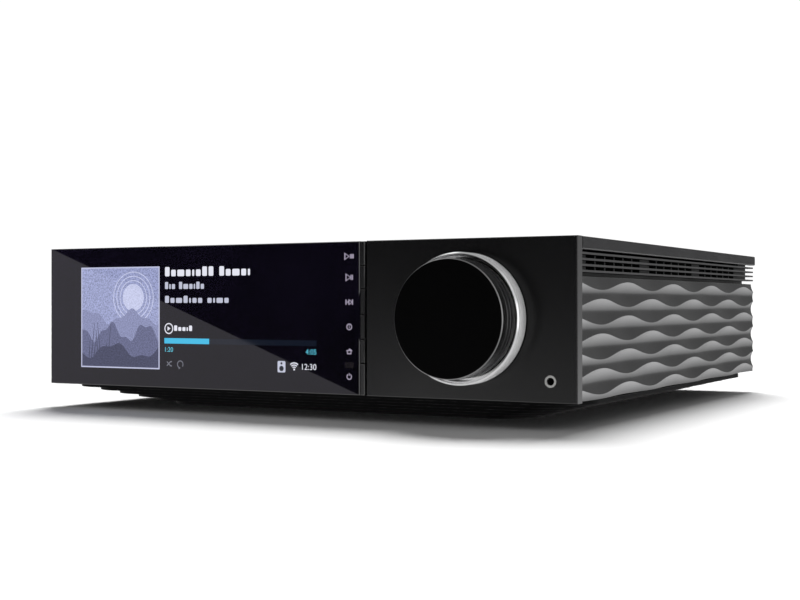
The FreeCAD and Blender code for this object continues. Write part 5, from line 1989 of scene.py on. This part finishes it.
    def build_lamps(self) -> None:
        """Set two indicator lamps into the network port."""
        low, high = self.lamp_heights
        half, thickness = self.lamp_width / 2, self.lamp_thickness
        for side, finish in ((-1, "lamp_green"), (1, "lamp_amber")):
            x = self.network_x + side * self.lamp_offset
            lamp = Workpiece(f"network_{finish}").patch((x - half, low), (x + half, high),
                                                        self.port_face + thickness, self.lamp_corner)
            lamp.laid(-thickness, "port_metal", self.palette[finish], 30.0)

    def build_door(self) -> None:
        """Close the optical socket with its door."""
        x, z, half = self.door_x, self.door_z, self.door_half
        door = Workpiece("optical_door").block(spot(x - half, self.door_depths[0], z - half),
                                               spot(x + half, self.door_depths[1], z + half))
        door.select(lambda face: face.normal.y > 0.9)
        bpy.ops.mesh.inset(thickness=self.door_frame * MM, depth=-self.door_hollow * MM)
        door.bevelled(self.soft_edge).done("optical_plastic", self.palette["optical_plastic"])

    def build_pole_signs(self) -> None:
        """Mark the poles of the terminals with plus and minus signs."""
        arm, half = self.sign_arm, self.sign_half
        minus = ((-arm, -half), (arm, -half), (arm, half), (-arm, half))
        plus = ((-arm, -half), (-half, -half), (-half, -arm), (half, -arm), (half, -half), (arm, -half),
                (arm, half), (half, half), (half, arm), (-half, arm), (-half, half), (-arm, half))
        for k, x in enumerate(self.post_x):
            points = [(x + across, self.sign_z + up) for across, up in (minus if k % 2 else plus)]
            sign = Workpiece(f"pole_sign_{k + 1}").outline(points, self.block_face + self.sign_height)
            sign.laid(-self.sign_height, "rear_paint", self.palette["mark_white"])

    def build_rocker_signs(self) -> None:
        """Mark the two sides of the rocker switch with a ring and a bar."""
        x, height, white = self.rocker_x, self.rocker_sign_height, self.palette["mark_white"]
        depth, z = self.rocker_low
        ring = Workpiece("rocker_off").ring((x, z), self.rocker_ring, depth + height)
        ring.laid(-height, "inlet_plastic", white, body="rocker")
        depth, z = self.rocker_high
        half, tall = self.rocker_bar
        bar = Workpiece("rocker_on").patch((x - half, z - tall), (x + half, z + tall), depth + height)
        bar.thicken(-height)
        bpy.ops.mesh.select_all(action="SELECT")
        bpy.ops.transform.rotate(value=math.radians(self.rocker_slope), orient_axis="X",
                                 center_override=spot(x, depth, z))
        bar.done("inlet_plastic", white, None, "rocker")

    def build(self) -> None:
        """Build everything on the rear panel."""
        self.build_screws()
        self.build_phono_rings()
        self.build_threads()
        self.build_contacts()
        self.build_lamps()
        self.build_door()
        self.build_pole_signs()
        self.build_rocker_signs()


@dataclass(frozen=True)
class Card:
    """Lit card that only reflections see; it can fade from one height to another."""

    name: str
    corners: Sequence[Triple]
    light: float
    fade: Point | None = None
    tint: Colour = (1.0, 1.0, 1.0)

    def build(self) -> None:
        """Stand up the card."""
        bpy.ops.object.select_all(action="DESELECT")
        bpy.ops.mesh.primitive_circle_add(vertices=len(self.corners), radius=1.0, fill_type="NGON")
        card = bpy.context.object
        card.name = self.name
        for vertex, place in zip(card.data.vertices, self.corners):
            vertex.co = place
        material, desk, glow = new_material(self.name, "ShaderNodeEmission")
        light: Socket = self.light
        if self.fade is not None:
            place = desk.add("ShaderNodeNewGeometry").outputs["Position"]
            light = desk.spread(desk.split(place, "Z"), *self.fade, self.light, 0.0)
        desk.fill(glow, Color=self.tint, Strength=light)
        card.data.materials.append(material)
        card.visible_camera = False
        card.visible_diffuse = False
        card.visible_shadow = False


@dataclass
class Studio:
    """Camera, pale floor, surroundings, a wide overhead light and cards that only reflections see.

    Each slope of the surroundings gives its start and end along a direction, then the light at both.
    """

    eye: Triple = (0.3745, -0.7104, 0.0587)
    yaw: float = 28.99
    pitch: float = 0.11
    focal: float = 59.1
    sensor: float = 36.0
    clip: Point = (0.01, 100.0)
    floor_size: float = 60.0
    floor_colour: Colour = grey(0.92)
    floor_roughness: float = 0.9
    horizon: Slope = (0.0, -0.06)
    floor_rise: Slope = (-0.03, -0.42, 0.3, 1.0)
    front_shade: Slope = (-0.75, -0.35, 0.04, 1.0)
    back_light: Slope = (-0.1, 0.35, 0.0, 0.13)
    ahead: Slope = (0.5, 0.1)
    right_light: Slope = (0.2, 0.5, 0.0, 0.95)
    top_light: Slope = (0.4, 0.65, 0.0, 0.6)
    base_light: float = 0.012
    diffuse_share: float = 0.42
    backdrop: float = 1.05
    sun_light: float = 4.2
    sun_width: float = 32.0
    sun_turn: Point = (-31.0, -15.0)
    plate_fade: Point = (-0.12, 0.05)

    def build_camera(self) -> None:
        """Place the camera at the photograph's view."""
        data = bpy.data.cameras.new("camera")
        data.lens = self.focal
        data.sensor_width = self.sensor
        data.clip_start, data.clip_end = self.clip
        camera = bpy.data.objects.new("camera", data)
        camera.location = self.eye
        camera.rotation_euler = (math.radians(90.0 + self.pitch), 0.0, math.radians(self.yaw))
        bpy.context.scene.collection.objects.link(camera)
        bpy.context.scene.camera = camera

    def build_floor(self) -> None:
        """Lay a wide pale floor that mirrors leave out."""
        bpy.ops.object.select_all(action="DESELECT")
        bpy.ops.mesh.primitive_plane_add(size=self.floor_size, location=(0, 0, 0))
        floor = bpy.context.object
        floor.name = "floor"
        material, desk, shader = new_material("floor_white")
        desk.fill(shader, Base_Color=self.floor_colour, Roughness=self.floor_roughness,
                  Specular_IOR_Level=0.0)
        floor.data.materials.append(material)
        floor.visible_glossy = False

    def build_world(self) -> None:
        """Shade the surroundings.

        They are bright below and to the right, less so above, faint behind and dark straight ahead of the
        front. The camera sees them white.
        """
        world = bpy.data.worlds.new("studio")
        bpy.context.scene.world = world
        world.use_nodes = True
        desk = Desk(world.node_tree)
        way = desk.add("ShaderNodeTexCoord").outputs["Generated"]
        right, rear, up = (desk.split(way, axis) for axis in "XYZ")
        below = desk.times(desk.spread(up, *self.horizon), desk.spread(up, *self.floor_rise))
        below = desk.times(below, desk.spread(rear, *self.front_shade))
        ahead = desk.spread(rear, *self.ahead)
        beside = desk.times(desk.spread(right, *self.right_light), ahead)
        over = desk.times(desk.spread(up, *self.top_light), ahead)
        sides = desk.calc("MAXIMUM", desk.calc("MAXIMUM", beside, over), desk.spread(rear, *self.back_light))
        path = desk.add("ShaderNodeLightPath")
        share = desk.spread(path.outputs["Is Diffuse Ray"], 0.0, 1.0, 1.0, self.diffuse_share)
        level = desk.times(desk.plus(desk.calc("MAXIMUM", below, sides), self.base_light), share)
        choice = desk.add("ShaderNodeMixShader", Fac=path.outputs["Is Camera Ray"])
        for number, strength in ((1, level), (2, self.backdrop)):
            shade = desk.add("ShaderNodeBackground", Color=grey(1.0), Strength=strength)
            desk.put(choice.inputs[number], shade.outputs[0])
        desk.add("ShaderNodeOutputWorld", Surface=choice.outputs[0])

    def build_light(self) -> None:
        """Hang a wide overhead light that mirrors leave out."""
        data = bpy.data.lights.new("overhead", "SUN")
        data.energy = self.sun_light
        data.angle = math.radians(self.sun_width)
        lamp = bpy.data.objects.new("overhead", data)
        lamp.rotation_euler = (math.radians(self.sun_turn[0]), math.radians(self.sun_turn[1]), 0.0)
        lamp.visible_glossy = False
        bpy.context.scene.collection.objects.link(lamp)

    def build_cards(self) -> None:
        """Stand up the five cards."""
        for card in (
                Card("card_display", ((-2.6, -1.156, 0.697), (-0.53, -1.156, -0.0765), (-0.53, -1.156, -0.6),
                                      (-2.6, -1.156, -0.6)), 0.78, None, (0.95, 0.92, 1.0)),
                Card("card_plate", ((-0.53, -1.2, 0.5), (-0.42, -1.2, 0.5), (-0.42, -1.2, -0.6),
                                    (-0.53, -1.2, -0.6)), 3.0, self.plate_fade),
                Card("card_plate_right", ((-0.419, -1.2, 0.5), (0.1, -1.2, 0.5), (0.1, -1.2, -0.6),
                                          (-0.419, -1.2, -0.6)), 1.1, self.plate_fade),
                Card("card_bevel", ((1.35, -0.95, 0.6), (1.6, -0.55, 0.6), (1.6, -0.55, -0.3),
                                    (1.35, -0.95, -0.3)), 2.2),
                Card("card_top_left", ((-0.9, -0.5, 1.1), (-0.9, 0.1, 1.1), (-0.5, 0.1, 1.3),
                                       (-0.5, -0.5, 1.3)), 2.4)):
            card.build()

    def build(self) -> None:
        """Build the studio."""
        self.build_camera()
        self.build_floor()
        self.build_world()
        self.build_light()
        self.build_cards()
        bpy.context.scene.view_settings.view_transform = "Standard"


def main() -> None:
    """Dress the frame and add every new piece."""
    logging.basicConfig(level=logging.INFO, format="%(message)s")
    Studio().build()
    palette = Palette()
    palette.dress_nodes()
    for side in Side:
        WavePanel(side).build(palette)
    Knob(palette).build()
    Screen(palette).build()
    KeyMarks(palette).build()
    RearDetails(palette).build()


if __name__ == "__main__":
    main()
